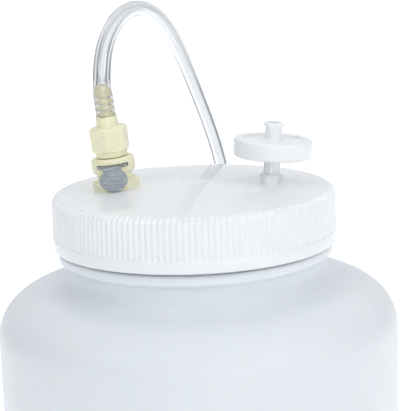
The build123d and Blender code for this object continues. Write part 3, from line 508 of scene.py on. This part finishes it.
def swept(line, sections):
    """Rings along a line: sections(i) gives the outline (x, y) points at the line's point i."""
    rings = []
    tangent = (line[1] - line[0]).normalized()
    side = tangent.orthogonal().normalized()
    for i, place in enumerate(line):
        ahead = line[min(i + 1, len(line) - 1)] - line[max(i - 1, 0)]
        new_tangent = ahead.normalized()
        side = (tangent.rotation_difference(new_tangent) @ side)
        side = (side - new_tangent * side.dot(new_tangent)).normalized()
        tangent = new_tangent
        across = tangent.cross(side)
        rings.append([place + side * x + across * y for x, y in sections(i)])
    return rings


HOSE_COLUMNS = 36
STRETCHED_BORE = 1.84


def bore_radius(s):
    """Bore at a distance from the boss: tight on each barb, bridging the grooves, then its own size."""
    pocket, grip = 2.06, 0.015
    if s <= BARB_LENGTH - 0.3:
        return max(barb_radius(s) - grip, pocket - 0.25 * smoothstep(BARB_LENGTH - 2.6, BARB_LENGTH, s))
    settled = smoothstep(BARB_LENGTH - 0.3, BARB_LENGTH + 3.0, s)
    return HOSE_BORE + (STRETCHED_BORE - HOSE_BORE) * (1 - settled)


def outer_radius(s):
    """Outside: the wall's section stays where the barb stretches it, and it settles slowly past the barb."""
    ripple = 0.04 * math.cos(TAU * (s - BARB_FIRST - 0.4) / BARB_PITCH) * (1 - smoothstep(8, 11, s))
    over_barb = 0.38 * (1 - smoothstep(7.0, 14.5, s))
    past_barb = 0.2 * (1 - smoothstep(14.0, 60.0, s))
    return HOSE_RADIUS + past_barb + over_barb + ripple


def round_section(radius):
    """Outline of a round section, from a radius in millimetres."""
    turns = [TAU * k / HOSE_COLUMNS for k in range(HOSE_COLUMNS)]
    return [(radius * math.cos(turn) * MM, radius * math.sin(turn) * MM) for turn in turns]


def hose_tube(line):
    """Clear tube with a wall: outside, bore and flat ends."""
    distances = [distance / MM for distance in travelled(line)]
    outside = swept(line, lambda i: round_section(outer_radius(distances[i])))
    inside = swept(line, lambda i: round_section(bore_radius(distances[i])))
    return skin_of_tube(outside + inside[::-1])


def skin_of_tube(rings):
    """Vertices and faces of rings that follow one another back to the first."""
    faces = []
    for k in range(len(rings)):
        a, b = HOSE_COLUMNS * k, HOSE_COLUMNS * ((k + 1) % len(rings))
        for j in range(HOSE_COLUMNS):
            n = (j + 1) % HOSE_COLUMNS
            faces.append([a + j, a + n, b + n, b + j])
    return [point for ring in rings for point in ring], faces


def add_hose():
    start = [barb_point(BOSS_TOP), barb_point(BOSS_TOP + 5.6), barb_point(BARB_END + 1.2)]
    line = spline_line([tuple(p) for p in start] + HOSE_ROUTE + coil_points())
    finer = []
    for before, after in zip(line, line[1:]):
        on_barb = (before - line[0]).length < (BARB_LENGTH + 1) * MM
        parts = 1 + int((after - before).length / (0.13 * MM)) if on_barb else 1
        finer += [before.lerp(after, k / parts) for k in range(parts)]
    line = finer + [line[-1]]
    vertices, faces = hose_tube(line)
    hose = make_object("clear_hose", vertices, faces, sharp=60, scale=1.0)
    hose.visible_shadow = False
    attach(hose, "insert")
    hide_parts("hose", "hose_coil")
    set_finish(hose, "clear_pvc")
    return hose, line


# ---- Bottle ----
BODY_RADIUS = 78.0
BODY_WALL = 1.8
SHOULDER_START = 194.7
SHOULDER_TOP_RADIUS = 58.2
SHOULDER_RISE = 17.5
NECK_RADIUS = 51.0
THROAT_BEND = SHOULDER_TOP_RADIUS - NECK_RADIUS
THROAT_TOP = SHOULDER_START + SHOULDER_RISE + THROAT_BEND
FINISH_BORE = 47.4
BASE_CORNER = 10.0
FOOT_RADIUS = BODY_RADIUS - BASE_CORNER
PARTING_ANGLE = math.radians(45.5)
PARTING_HEIGHT = 0.06
PARTING_HALF_WIDTH = math.radians(0.24)
BOTTLE_COLUMNS = 240
BLOWN_TOP = 221.0


def bottle_wall(inset, z_range):
    """Profile of one face of the wall, from the foot to the throat."""
    reach = BODY_RADIUS - SHOULDER_TOP_RADIUS - inset
    points = arc((FOOT_RADIUS, BASE_CORNER), (BASE_CORNER - inset,) * 2, -90, 0, 9)
    points += spaced((BODY_RADIUS - inset, BASE_CORNER), (BODY_RADIUS - inset, SHOULDER_START), z_range)
    points += arc((SHOULDER_TOP_RADIUS, SHOULDER_START), (reach, SHOULDER_RISE - inset), 0, 90, 22)[1:]
    bend = THROAT_BEND + inset
    return points + arc((SHOULDER_TOP_RADIUS, THROAT_TOP), (bend, bend), 270, 180, 12)[1:]


def blown_point(radius, height, angle, outside):
    """Point of the wall: the mould's wander below the neck, and the parting lines on the outside."""
    if height < BLOWN_TOP:
        here = Vector((radius * math.cos(angle), radius * math.sin(angle), height))
        wander = 0.10 * noise.noise(here / 38.0) + 0.035 * noise.noise(here / 11.0)
        off = abs((angle - PARTING_ANGLE + math.pi / 2) % math.pi - math.pi / 2)
        ridge = PARTING_HEIGHT * max(0.0, 1 - off / PARTING_HALF_WIDTH) if outside else 0.0
        radius += (wander - 0.06) * smoothstep(1.0, 12.0, height) + ridge - 0.05
    return Vector((radius * math.cos(angle), radius * math.sin(angle), height))


def bottle_rings():
    """Rings from the middle of the base, up the outside, over the rim and down the inside."""
    base = [(0.0, 4.0), (8.0, 3.95), (20.0, 3.7), (34.0, 3.0)]
    base += [(47.0, 1.95), (56.0, 1.15), (58.5, 0.4), (60.5, 0.0)]
    outside = base + [(64.0, 0.0)] + bottle_wall(0.0, 36)
    outside += [(NECK_RADIUS, 222.6), (51.3, 223.1)]
    outside += arc((51.6, 224.8), (1.4, 1.4), -75, 0, 5) + arc((51.6, 226.2), (1.4, 1.4), 0, 90, 6)
    outside += [(50.4, 227.6), (50.0, 228.0), (50.0, 233.0), (50.0, 239.0)]
    outside += arc((49.4, RIM_Z - 0.6), (0.6, 0.6), 0, 90, 4)
    inside = [(FINISH_BORE + 0.3, RIM_Z), (FINISH_BORE, RIM_Z - 0.3)]
    inside += [(FINISH_BORE, 234.0), (FINISH_BORE, 223.0)]
    inside += bottle_wall(BODY_WALL, 36)[::-1]
    inside += [(r, z + BODY_WALL) for r, z in base[::-1]]
    rings = []
    for i, (radius, height) in enumerate(outside + inside):
        if radius == 0.0:
            rings.append([Vector((0, 0, height))])
            continue
        rings.append([blown_point(radius, height, angle, i < len(outside)) for angle in BOTTLE_ANGLES])
    return rings


def bottle_angles():
    """Even columns, with close ones at the two parting lines."""
    angles = [TAU * i / BOTTLE_COLUMNS for i in range(BOTTLE_COLUMNS)]
    for line in (PARTING_ANGLE, PARTING_ANGLE + math.pi):
        angles = [a for a in angles if abs(a - line) > math.radians(0.7)]
        angles += [line + math.radians(d) for d in (-0.7, -0.24, 0.0, 0.24, 0.7)]
    return sorted(angles)


BOTTLE_ANGLES = bottle_angles()


def add_bottle():
    ridge = thread_ridge(49.6, 51.6, 231.0, 5.08, 1.5, count=96)
    vertices, faces = joined(skin(bottle_rings()), ridge)
    bottle = make_object("bottle_shell", vertices, faces, sharp=32)
    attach(bottle, "bottle")
    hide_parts("bottle")
    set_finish(bottle, "natural_hdpe")
    return bottle


# ---- Cap ----
CAP_RADIUS = 55.0
CAP_TOP_RADIUS = 54.65
CAP_BORE = 52.2
CAP_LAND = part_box("cap_gasket")[1].z / MM + 0.03
CAP_PANEL = 2.6
CAP_BAND = 4.5
RIB_COUNT = 150
RIB_DEPTH = 0.5
RIB_SAMPLES = 8
DOME_COLUMNS = RIB_COUNT


def ribbed_ring(radius, height, share, normal=(1.0, 0.0)):
    """Ring whose valleys between the ribs go in along the wall's normal."""
    points = []
    count = RIB_COUNT * RIB_SAMPLES
    for i in range(count):
        across = 1 - abs(2 * (i % RIB_SAMPLES) / RIB_SAMPLES - 1)
        depth = RIB_DEPTH * share * smoothstep(0.2, 0.8, across)
        angle = TAU * i / count
        reach = radius - depth * normal[0]
        points.append(Vector((reach * math.cos(angle), reach * math.sin(angle), height - depth * normal[1])))
    return points


def cap_rings():
    """Rings from the inside of the dome, down the bore, round the edge, up the ribs and over the dome."""
    inside = [(0.0, dome_height(0) - CAP_PANEL)]
    inside += [(r, dome_height(r) - CAP_PANEL) for r in (6.0, 14.0, 22.0, 30.0, 36.0, 40.0)]
    inside += [(40.0, CAP_LAND), (46.0, CAP_LAND), (CAP_BORE, CAP_LAND), (CAP_BORE, 240.0), (CAP_BORE, 234.0)]
    inside += [(CAP_BORE, CAP_BOTTOM + 0.6), (CAP_BORE + 0.5, CAP_BOTTOM)]
    outside = [(CAP_RADIUS - 0.7, CAP_BOTTOM)]
    outside += arc((CAP_RADIUS - 0.7, CAP_BOTTOM + 0.7), (0.7, 0.7), -60, 0, 4)
    outside += [(CAP_RADIUS, CAP_BOTTOM + CAP_BAND - 0.3)]
    rings = []
    for radius, height in inside + outside:
        rings.append(circle(radius, height, DOME_COLUMNS) if radius else [Vector((0, 0, height))])
    skirt_low = CAP_BOTTOM + CAP_BAND
    corner = DOME_TOP - DOME_DROP - 2.4
    for rise, share in ((0.0, 0.0), (0.35, 0.35), (0.7, 0.85), (1.1, 1.0)):
        rings.append(ribbed_ring(CAP_RADIUS - 0.02, skirt_low + rise, share))
    for i in range(1, 7):
        height = skirt_low + 1.1 + (corner - skirt_low - 1.1) * i / 6
        taper = (CAP_RADIUS - CAP_TOP_RADIUS) * i / 6
        rings.append(ribbed_ring(CAP_RADIUS - taper, height, 1.0))
    round_r, round_z = CAP_TOP_RADIUS - DOME_EDGE_RADIUS, 2.4
    for step in range(1, 9):
        angle = math.radians(90 * step / 8)
        share = 1 - smoothstep(0.55, 1.0, step / 8)
        normal = (math.cos(angle), math.sin(angle))
        rings.append(ribbed_ring(
            DOME_EDGE_RADIUS + round_r * math.cos(angle), corner + round_z * math.sin(angle), share, normal
        ))
    for radius in (50.6, 49.0, 46.0, 42.0, 37.0, 31.0, 25.0, 18.0, 11.0, 6.0):
        rings.append(circle(radius, dome_height(radius), DOME_COLUMNS))
    gate_mark = [(4.3, 0.0), (4.1, 0.07), (3.95, 0.24), (3.75, 0.30), (3.4, 0.27)]
    gate_mark += [(1.5, -0.02), (1.2, -0.08), (1.0, -0.14)]
    for radius, lift in gate_mark:
        rings.append(circle(radius, DOME_TOP + lift, DOME_COLUMNS // 3))
    rings.append([Vector((0, 0, DOME_TOP - 0.15))])
    return rings


def add_cap():
    cap = make_object("ribbed_cap", *skin(cap_rings()), sharp=35)
    holes = [rod_tool("coupling_hole", COUPLING, 5.6, -6.0, 3.0), rod_tool("vent_hole", VENT, 3.3, -6.0, 3.0)]
    cut(cap, holes)
    ridge = thread_ridge(52.6, 50.6, 233.54, 5.08, 1.25, count=96)
    thread = make_object("cap_thread", *ridge, sharp=35)
    for piece in (cap, thread):
        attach(piece, "cap")
        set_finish(piece, "white_pp")
    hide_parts("screw_cap")
    return cap, thread


# ---- Coil tie ----
TIE_ANGLE = 120  # degrees


def add_tie():
    """Releasable strap: a band hugging the coil's section, with its tail lapped over the top."""
    low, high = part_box("hose_coil")
    half_height = (high.z - low.z) / 2 / MM
    half_width = (COIL_OUTER - COIL_INNER) / 2 / MM + HOSE_RADIUS
    middle = ((COIL_OUTER + COIL_INNER) / 2 / MM, (high.z + low.z) / 2 / MM)
    thickness, width, corner = 0.8, 7.0, 2.9
    at_coil = Matrix.Translation((COIL_CENTRE[0] / MM, COIL_CENTRE[1] / MM, 0))
    place = at_coil @ Matrix.Rotation(math.radians(TIE_ANGLE), 4, "Z")

    def loop(grow):
        """Rounded rectangle, anticlockwise from the middle of its top."""
        reach_x, reach_z, bend = half_width + grow, half_height + grow, corner + grow
        corners = ((-1, 1, 90), (-1, -1, 180), (1, -1, 270), (1, 1, 0))
        points = [(0.0, reach_z)]
        for sx, sz, first in corners:
            points += arc((sx * (reach_x - bend), sz * (reach_z - bend)), (bend, bend), first, first + 90, 8)
        return points

    def lap(grow, count=10):
        """Tail over the top, from its middle towards the outer side, on the first layer."""
        reach = half_width - corner
        return [(reach * i / count * 1.35 - reach * 0.35, half_height + grow) for i in range(count + 1)]

    def band(inner, outer, closed):
        edge = 0.25
        rows = [(-width / 2, edge), (-width / 2 + edge, 0.0), (width / 2 - edge, 0.0), (width / 2, edge)]
        vertices, faces = [], []
        for (xi, zi), (xo, zo) in zip(inner, outer):
            for along, shrink in rows:
                vertices.append(((xi + (xo - xi) * shrink), along, zi + (zo - zi) * shrink))
            for along, shrink in rows[::-1]:
                vertices.append(((xo + (xi - xo) * shrink), along, zo + (zi - zo) * shrink))
        count, around = len(inner), 2 * len(rows)
        for i in range(count if closed else count - 1):
            a, b = around * i, around * ((i + 1) % count)
            for k in range(around):
                n = (k + 1) % around
                faces.append([a + k, b + k, b + n, a + n])
        if not closed:
            faces.append(list(range(around)))
            faces.append([around * (count - 1) + k for k in range(around)][::-1])
        moved = [place @ Vector((x + middle[0], y, z + middle[1])) for x, y, z in vertices]
        return moved, faces

    grip = 0.05
    strap = band(loop(grip), loop(grip + thickness), True)
    tail = band(lap(grip + thickness), lap(grip + 2 * thickness), False)
    tie = make_object("coil_strap", *joined(strap, tail), sharp=50)
    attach(tie, "insert")
    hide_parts("coil_tie")
    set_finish(tie, "tie_strap")
    return tie


# ---- Latch ----
LATCH_EDGE = 0.14


def soften_latch():
    """Rounds the stamped edges of the latch."""
    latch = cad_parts["latch_plate"]
    weld = latch.modifiers.new("weld", "WELD")
    weld.merge_threshold = 0.00001
    bevel = latch.modifiers.new("edges", "BEVEL")
    bevel.width = LATCH_EDGE * MM
    bevel.segments = 2
    bevel.limit_method = "ANGLE"
    bevel.angle_limit = math.radians(38)
    bevel.harden_normals = True


def squash_latch_spring():
    """Gives the spring behind the thumb pad a mesh of its own."""
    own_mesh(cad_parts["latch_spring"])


# ---- Materials ----
class Surface:
    """A Principled material whose varying sockets are fed by patterns fixed to the object."""

    def __init__(self, name, **sockets):
        self.material = bpy.data.materials.new(name)
        self.material.use_nodes = True
        self.tree = self.material.node_tree
        self.shader = self.tree.nodes["Principled BSDF"]
        for socket, value in sockets.items():
            self.shader.inputs[socket.replace("_", " ")].default_value = value
        coordinates = self.tree.nodes.new("ShaderNodeTexCoord")
        self.place = coordinates.outputs["Object"]
        self.normal = None

    def node(self, kind, **values):
        made = self.tree.nodes.new(kind)
        for key, value in values.items():
            if key in made.inputs:
                made.inputs[key].default_value = value
            else:
                setattr(made, key, value)
        return made

    def link(self, output, target):
        self.tree.links.new(output, target)

    def noise(self, scale, detail=3.0, roughness=0.55, stretch=(1, 1, 1), distortion=0.0):
        """Noise with a number of features to the metre, stretched along an axis if asked."""
        mapping = self.node("ShaderNodeMapping", Scale=stretch)
        self.link(self.place, mapping.inputs["Vector"])
        made = self.node(
            "ShaderNodeTexNoise", Scale=scale, Detail=detail, Roughness=roughness, Distortion=distortion
        )
        self.link(mapping.outputs["Vector"], made.inputs["Vector"])
        return made.outputs["Fac"]

    def ramp(self, value, stops):
        """Colour from a value, with stops of (position, colour)."""
        made = self.tree.nodes.new("ShaderNodeValToRGB")
        ramp = made.color_ramp
        while len(ramp.elements) < len(stops):
            ramp.elements.new(0.5)
        for element, (position, colour) in zip(ramp.elements, stops):
            element.position, element.color = position, (*colour, 1.0)
        self.link(value, made.inputs["Fac"])
        return made.outputs["Color"]

    def colour(self, value, stops):
        self.link(self.ramp(value, stops), self.shader.inputs["Base Color"])

    def roughness(self, value, low, high):
        made = self.node("ShaderNodeMapRange")
        made.inputs["From Min"].default_value, made.inputs["From Max"].default_value = 0.3, 0.7
        made.inputs["To Min"].default_value, made.inputs["To Max"].default_value = low, high
        self.link(value, made.inputs["Value"])
        self.link(made.outputs["Result"], self.shader.inputs["Roughness"])

    def bump(self, height, distance, strength=1.0):
        """Adds relief of a depth in metres to what is there already."""
        made = self.node("ShaderNodeBump", Strength=strength, Distance=distance)
        self.link(height, made.inputs["Height"])
        if self.normal:
            self.link(self.normal, made.inputs["Normal"])
        self.normal = made.outputs["Normal"]
        self.link(self.normal, self.shader.inputs["Normal"])


def natural_hdpe():
    """Milky blow-moulded wall: cool white, slow waves and faint flow lines down the wall."""
    s = Surface(
        "natural_hdpe", IOR=1.53, Specular_IOR_Level=0.25, Subsurface_Weight=0.85,
        Subsurface_Radius=(1.1, 1.0, 0.9), Subsurface_Scale=0.003,
    )
    s.colour(s.noise(14, 4, 0.6, (1, 1, 0.35)), [(0.30, (0.80, 0.84, 0.885)), (0.70, (0.835, 0.87, 0.905))])
    s.roughness(s.noise(55, 4), 0.31, 0.40)
    s.bump(s.noise(160, 3, 0.5, (1, 1, 0.12)), 0.00004)
    s.bump(s.noise(1400, 2), 0.000012)
    return s.material


def white_pp():
    """Moulded white cap: glossy with faint swirls and a fine skin."""
    s = Surface("white_pp", IOR=1.49)
    s.colour(s.noise(30, 5, 0.6, distortion=0.6), [(0.3, (0.875, 0.895, 0.915)), (0.7, (0.90, 0.915, 0.93))])
    s.roughness(s.noise(90, 4), 0.05, 0.09)
    s.bump(s.noise(120, 3), 0.000002)
    return s.material


def ivory_plastic():
    """Unpigmented acetal: warm ivory, waxy, a little light inside."""
    s = Surface("ivory_plastic", IOR=1.48)
    warm = [(0.3, (0.86, 0.832, 0.575)), (0.7, (0.91, 0.888, 0.655))]
    s.colour(s.noise(220, 4, 0.55, distortion=0.4), warm)
    s.roughness(s.noise(500, 3), 0.24, 0.38)
    s.bump(s.noise(2600, 3), 0.000006)
    return s.material


def latch_steel():
    """Stamped stainless sheet, tumbled: grey with a fine grain across the pad and small pits."""
    s = Surface("latch_steel", Metallic=1.0)
    grain = s.noise(1500, 5, 0.7, (0.45, 1, 1.6), distortion=0.3)
    s.colour(grain, [(0.32, (0.22, 0.25, 0.28)), (0.5, (0.35, 0.38, 0.415)), (0.66, (0.51, 0.54, 0.57))])
    s.roughness(s.noise(700, 4), 0.34, 0.5)
    s.bump(s.noise(2600, 4, 0.6, (0.5, 1, 1)), 0.00002)
    return s.material


def spring_steel():
    """Drawn spring wire, bright, with die lines."""
    s = Surface("spring_steel", Metallic=1.0)
    s.colour(s.noise(1800, 4), [(0.3, (0.50, 0.50, 0.50)), (0.7, (0.68, 0.67, 0.65))])
    s.roughness(s.noise(2400, 3), 0.18, 0.32)
    s.bump(s.noise(6000, 2), 0.000006)
    return s.material


def seal_rubber():
    """Black nitrile with a dusty bloom."""
    s = Surface("seal_rubber", IOR=1.52)
    s.colour(s.noise(700, 5), [(0.35, (0.012, 0.012, 0.013)), (0.7, (0.035, 0.035, 0.037))])
    s.roughness(s.noise(900, 4), 0.5, 0.72)
    s.bump(s.noise(3500, 3), 0.00001)
    return s.material


def foam_liner():
    """Closed-cell foam liner with open skin cells."""
    s = Surface("foam_liner")
    cells = s.node("ShaderNodeTexVoronoi", Scale=2600.0)
    s.link(s.place, cells.inputs["Vector"])
    s.colour(cells.outputs["Distance"], [(0.0, (0.62, 0.63, 0.62)), (0.6, (0.80, 0.81, 0.80))])
    s.roughness(s.noise(600, 3), 0.7, 0.85)
    s.bump(cells.outputs["Distance"], 0.00008)
    return s.material


def milky_pp(name, low, high):
    """Unpigmented polypropylene: cloudy, with a glossy skin."""
    s = Surface(name, IOR=1.49)
    s.colour(s.noise(90, 3, 0.5, distortion=0.5), [(0.3, low), (0.7, high)])
    s.roughness(s.noise(160, 2), 0.22, 0.26)
    s.bump(s.noise(200, 2), 0.000002)
    return s.material


def membrane():
    """White filter membrane with a fibrous face."""
    s = Surface("membrane")
    s.colour(s.noise(4000, 6, 0.8), [(0.3, (0.80, 0.80, 0.79)), (0.7, (0.92, 0.92, 0.91))])
    s.roughness(s.noise(2500, 4), 0.75, 0.92)
    s.bump(s.noise(5200, 5, 0.8), 0.00003)
    return s.material


def clear_pvc():
    """Clear flexible tubing: extrusion lines along it and a hint of haze."""
    s = Surface("clear_pvc", IOR=1.53, Transmission_Weight=1.0)
    s.colour(s.noise(70, 3), [(0.3, (0.85, 0.862, 0.877)), (0.7, (0.875, 0.885, 0.90))])
    s.roughness(s.noise(240, 4), 0.015, 0.06)
    s.bump(s.noise(500, 2), 0.000008)
    return s.material


def tie_strap():
    """Woven hook-and-loop strap."""
    s = Surface("tie_strap", Sheen_Weight=0.3, Sheen_Roughness=0.5)
    weave = s.node("ShaderNodeTexVoronoi", Scale=1900.0, Randomness=0.35)
    s.link(s.place, weave.inputs["Vector"])
    s.colour(s.noise(900, 5), [(0.3, (0.05, 0.055, 0.06)), (0.7, (0.11, 0.115, 0.125))])
    s.roughness(s.noise(1200, 4), 0.72, 0.9)
    s.bump(weave.outputs["Distance"], 0.00025)
    return s.material


def paint(objects):
    """Gives every shown piece and CAD node its slot's material."""
    made = {
        "natural_hdpe": natural_hdpe(),
        "white_pp": white_pp(),
        "ivory_plastic": ivory_plastic(),
        "latch_steel": latch_steel(),
        "spring_steel": spring_steel(),
        "seal_rubber": seal_rubber(),
        "foam_liner": foam_liner(),
        "milky_pp": milky_pp("milky_pp", (0.95, 0.96, 0.965), (0.965, 0.975, 0.98)),
        "filter_pp": milky_pp("filter_pp", (0.895, 0.915, 0.93), (0.915, 0.932, 0.945)),
        "membrane": membrane(),
        "clear_pvc": clear_pvc(),
        "tie_strap": tie_strap(),
    }
    for piece in objects:
        piece.data.materials.clear()
        piece.data.materials.append(made[piece["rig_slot"]])
    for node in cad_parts.values():
        slot = node.material_slots[0]
        slot.material = made[slot.material.name.split(".")[0]]


# ---- Studio ----
def add_floor():
    """Pale floor, wide enough to fill the view behind the object."""
    reach = 9.0
    corners = [(-reach, -reach, 0), (reach, -reach, 0), (reach, reach, 0), (-reach, reach, 0)]
    floor = make_object("floor", corners, [[0, 1, 2, 3]], scale=1.0)
    floor.location.z = -0.0002
    s = Surface("floor", Roughness=0.6)
    s.colour(s.noise(1.5, 2), [(0.0, (0.90, 0.90, 0.90)), (1.0, (0.91, 0.91, 0.91))])
    # The floor glows behind the object, less towards the sides and in front.
    split = s.node("ShaderNodeSeparateXYZ")
    s.link(s.place, split.inputs["Vector"])
    side = s.node("ShaderNodeMath", operation="ABSOLUTE")
    s.link(split.outputs["X"], side.inputs[0])
    glow = None
    for value, bright, dark in ((side.outputs[0], 0.65, 1.3), (split.outputs["Y"], 0.25, -0.5)):
        fall = s.node("ShaderNodeMapRange", interpolation_type="SMOOTHSTEP")
        for key, number in (("From Min", dark), ("From Max", bright), ("To Min", 0.0), ("To Max", 1.0)):
            fall.inputs[key].default_value = number
        s.link(value, fall.inputs["Value"])
        if glow:
            both = s.node("ShaderNodeMath", operation="MULTIPLY")
            s.link(glow, both.inputs[0])
            s.link(fall.outputs["Result"], both.inputs[1])
            glow = both.outputs[0]
        else:
            glow = fall.outputs["Result"]
    s.link(s.ramp(glow, [(0.0, (0.2, 0.2, 0.2)), (1.0, (1.0, 1.0, 1.0))]), s.shader.inputs["Emission Color"])
    s.shader.inputs["Emission Strength"].default_value = 0.55
    floor.data.materials.append(s.material)


def add_world():
    """Soft white surroundings behind and above, darker at the sides and in front, as in a studio."""
    world = bpy.data.worlds.new("studio")
    world.use_nodes = True
    bpy.context.scene.world = world
    tree = world.node_tree
    coordinates = tree.nodes.new("ShaderNodeTexCoord")
    split = tree.nodes.new("ShaderNodeSeparateXYZ")
    side, front, away = (tree.nodes.new("ShaderNodeMath") for _ in range(3))
    side.operation, front.operation, away.operation = "ABSOLUTE", "MULTIPLY", "MAXIMUM"
    front.inputs[1].default_value = -1.0
    ramp = tree.nodes.new("ShaderNodeValToRGB")
    tree.links.new(coordinates.outputs["Generated"], split.inputs["Vector"])
    tree.links.new(split.outputs["X"], side.inputs[0])
    tree.links.new(split.outputs["Y"], front.inputs[0])
    tree.links.new(side.outputs[0], away.inputs[0])
    tree.links.new(front.outputs[0], away.inputs[1])
    tree.links.new(away.outputs[0], ramp.inputs["Fac"])
    elements = ramp.color_ramp.elements
    elements[0].position, elements[0].color = 0.45, (0.90, 0.92, 0.94, 1)
    elements[1].position, elements[1].color = 0.92, (0.22, 0.235, 0.26, 1)
    background = tree.nodes["Background"]
    tree.links.new(ramp.outputs["Color"], background.inputs["Color"])
    background.inputs["Strength"].default_value = 0.9


def add_softbox(name, azimuth, elevation, distance, size, watts, target=(0, 0, 0.2)):
    """Rectangular soft light aimed at the object. Azimuth 0 is in front, 90 at the left."""
    a, e = math.radians(azimuth), math.radians(elevation)
    away = Vector((-math.sin(a) * math.cos(e), -math.cos(a) * math.cos(e), math.sin(e)))
    data = bpy.data.lights.new(name, "AREA")
    data.shape, data.size, data.size_y, data.energy = "RECTANGLE", *size, watts
    lamp = bpy.data.objects.new(name, data)
    lamp.location = Vector(target) + away * distance
    lamp.rotation_mode = "QUATERNION"
    lamp.rotation_quaternion = away.to_track_quat("Z", "Y")
    lamp.visible_camera = False
    lamp.visible_transmission = False
    bpy.context.scene.collection.objects.link(lamp)


def add_studio():
    add_floor()
    add_world()
    add_softbox("left_softbox", 50, 42, 1.4, (0.75, 0.35), 2.8)
    add_softbox("right_softbox", -55, 38, 1.4, (0.75, 0.35), 3.2)
    add_softbox("front_fill", -14, 12, 2.2, (1.8, 0.7), 10.2)
    add_softbox("overhead", 180, 78, 1.8, (1.2, 1.2), 1.8)
    bpy.context.scene.view_settings.view_transform = "Standard"


add_camera()
hose, hose_line = add_hose()
bottle = add_bottle()
cap, cap_thread = add_cap()
tie = add_tie()
fittings = [add_coupling_housing(), *add_insert(), add_vent(), *add_filter()]
soften_latch()
squash_latch_spring()
paint([hose, bottle, cap, cap_thread, tie, *fittings])
add_studio()
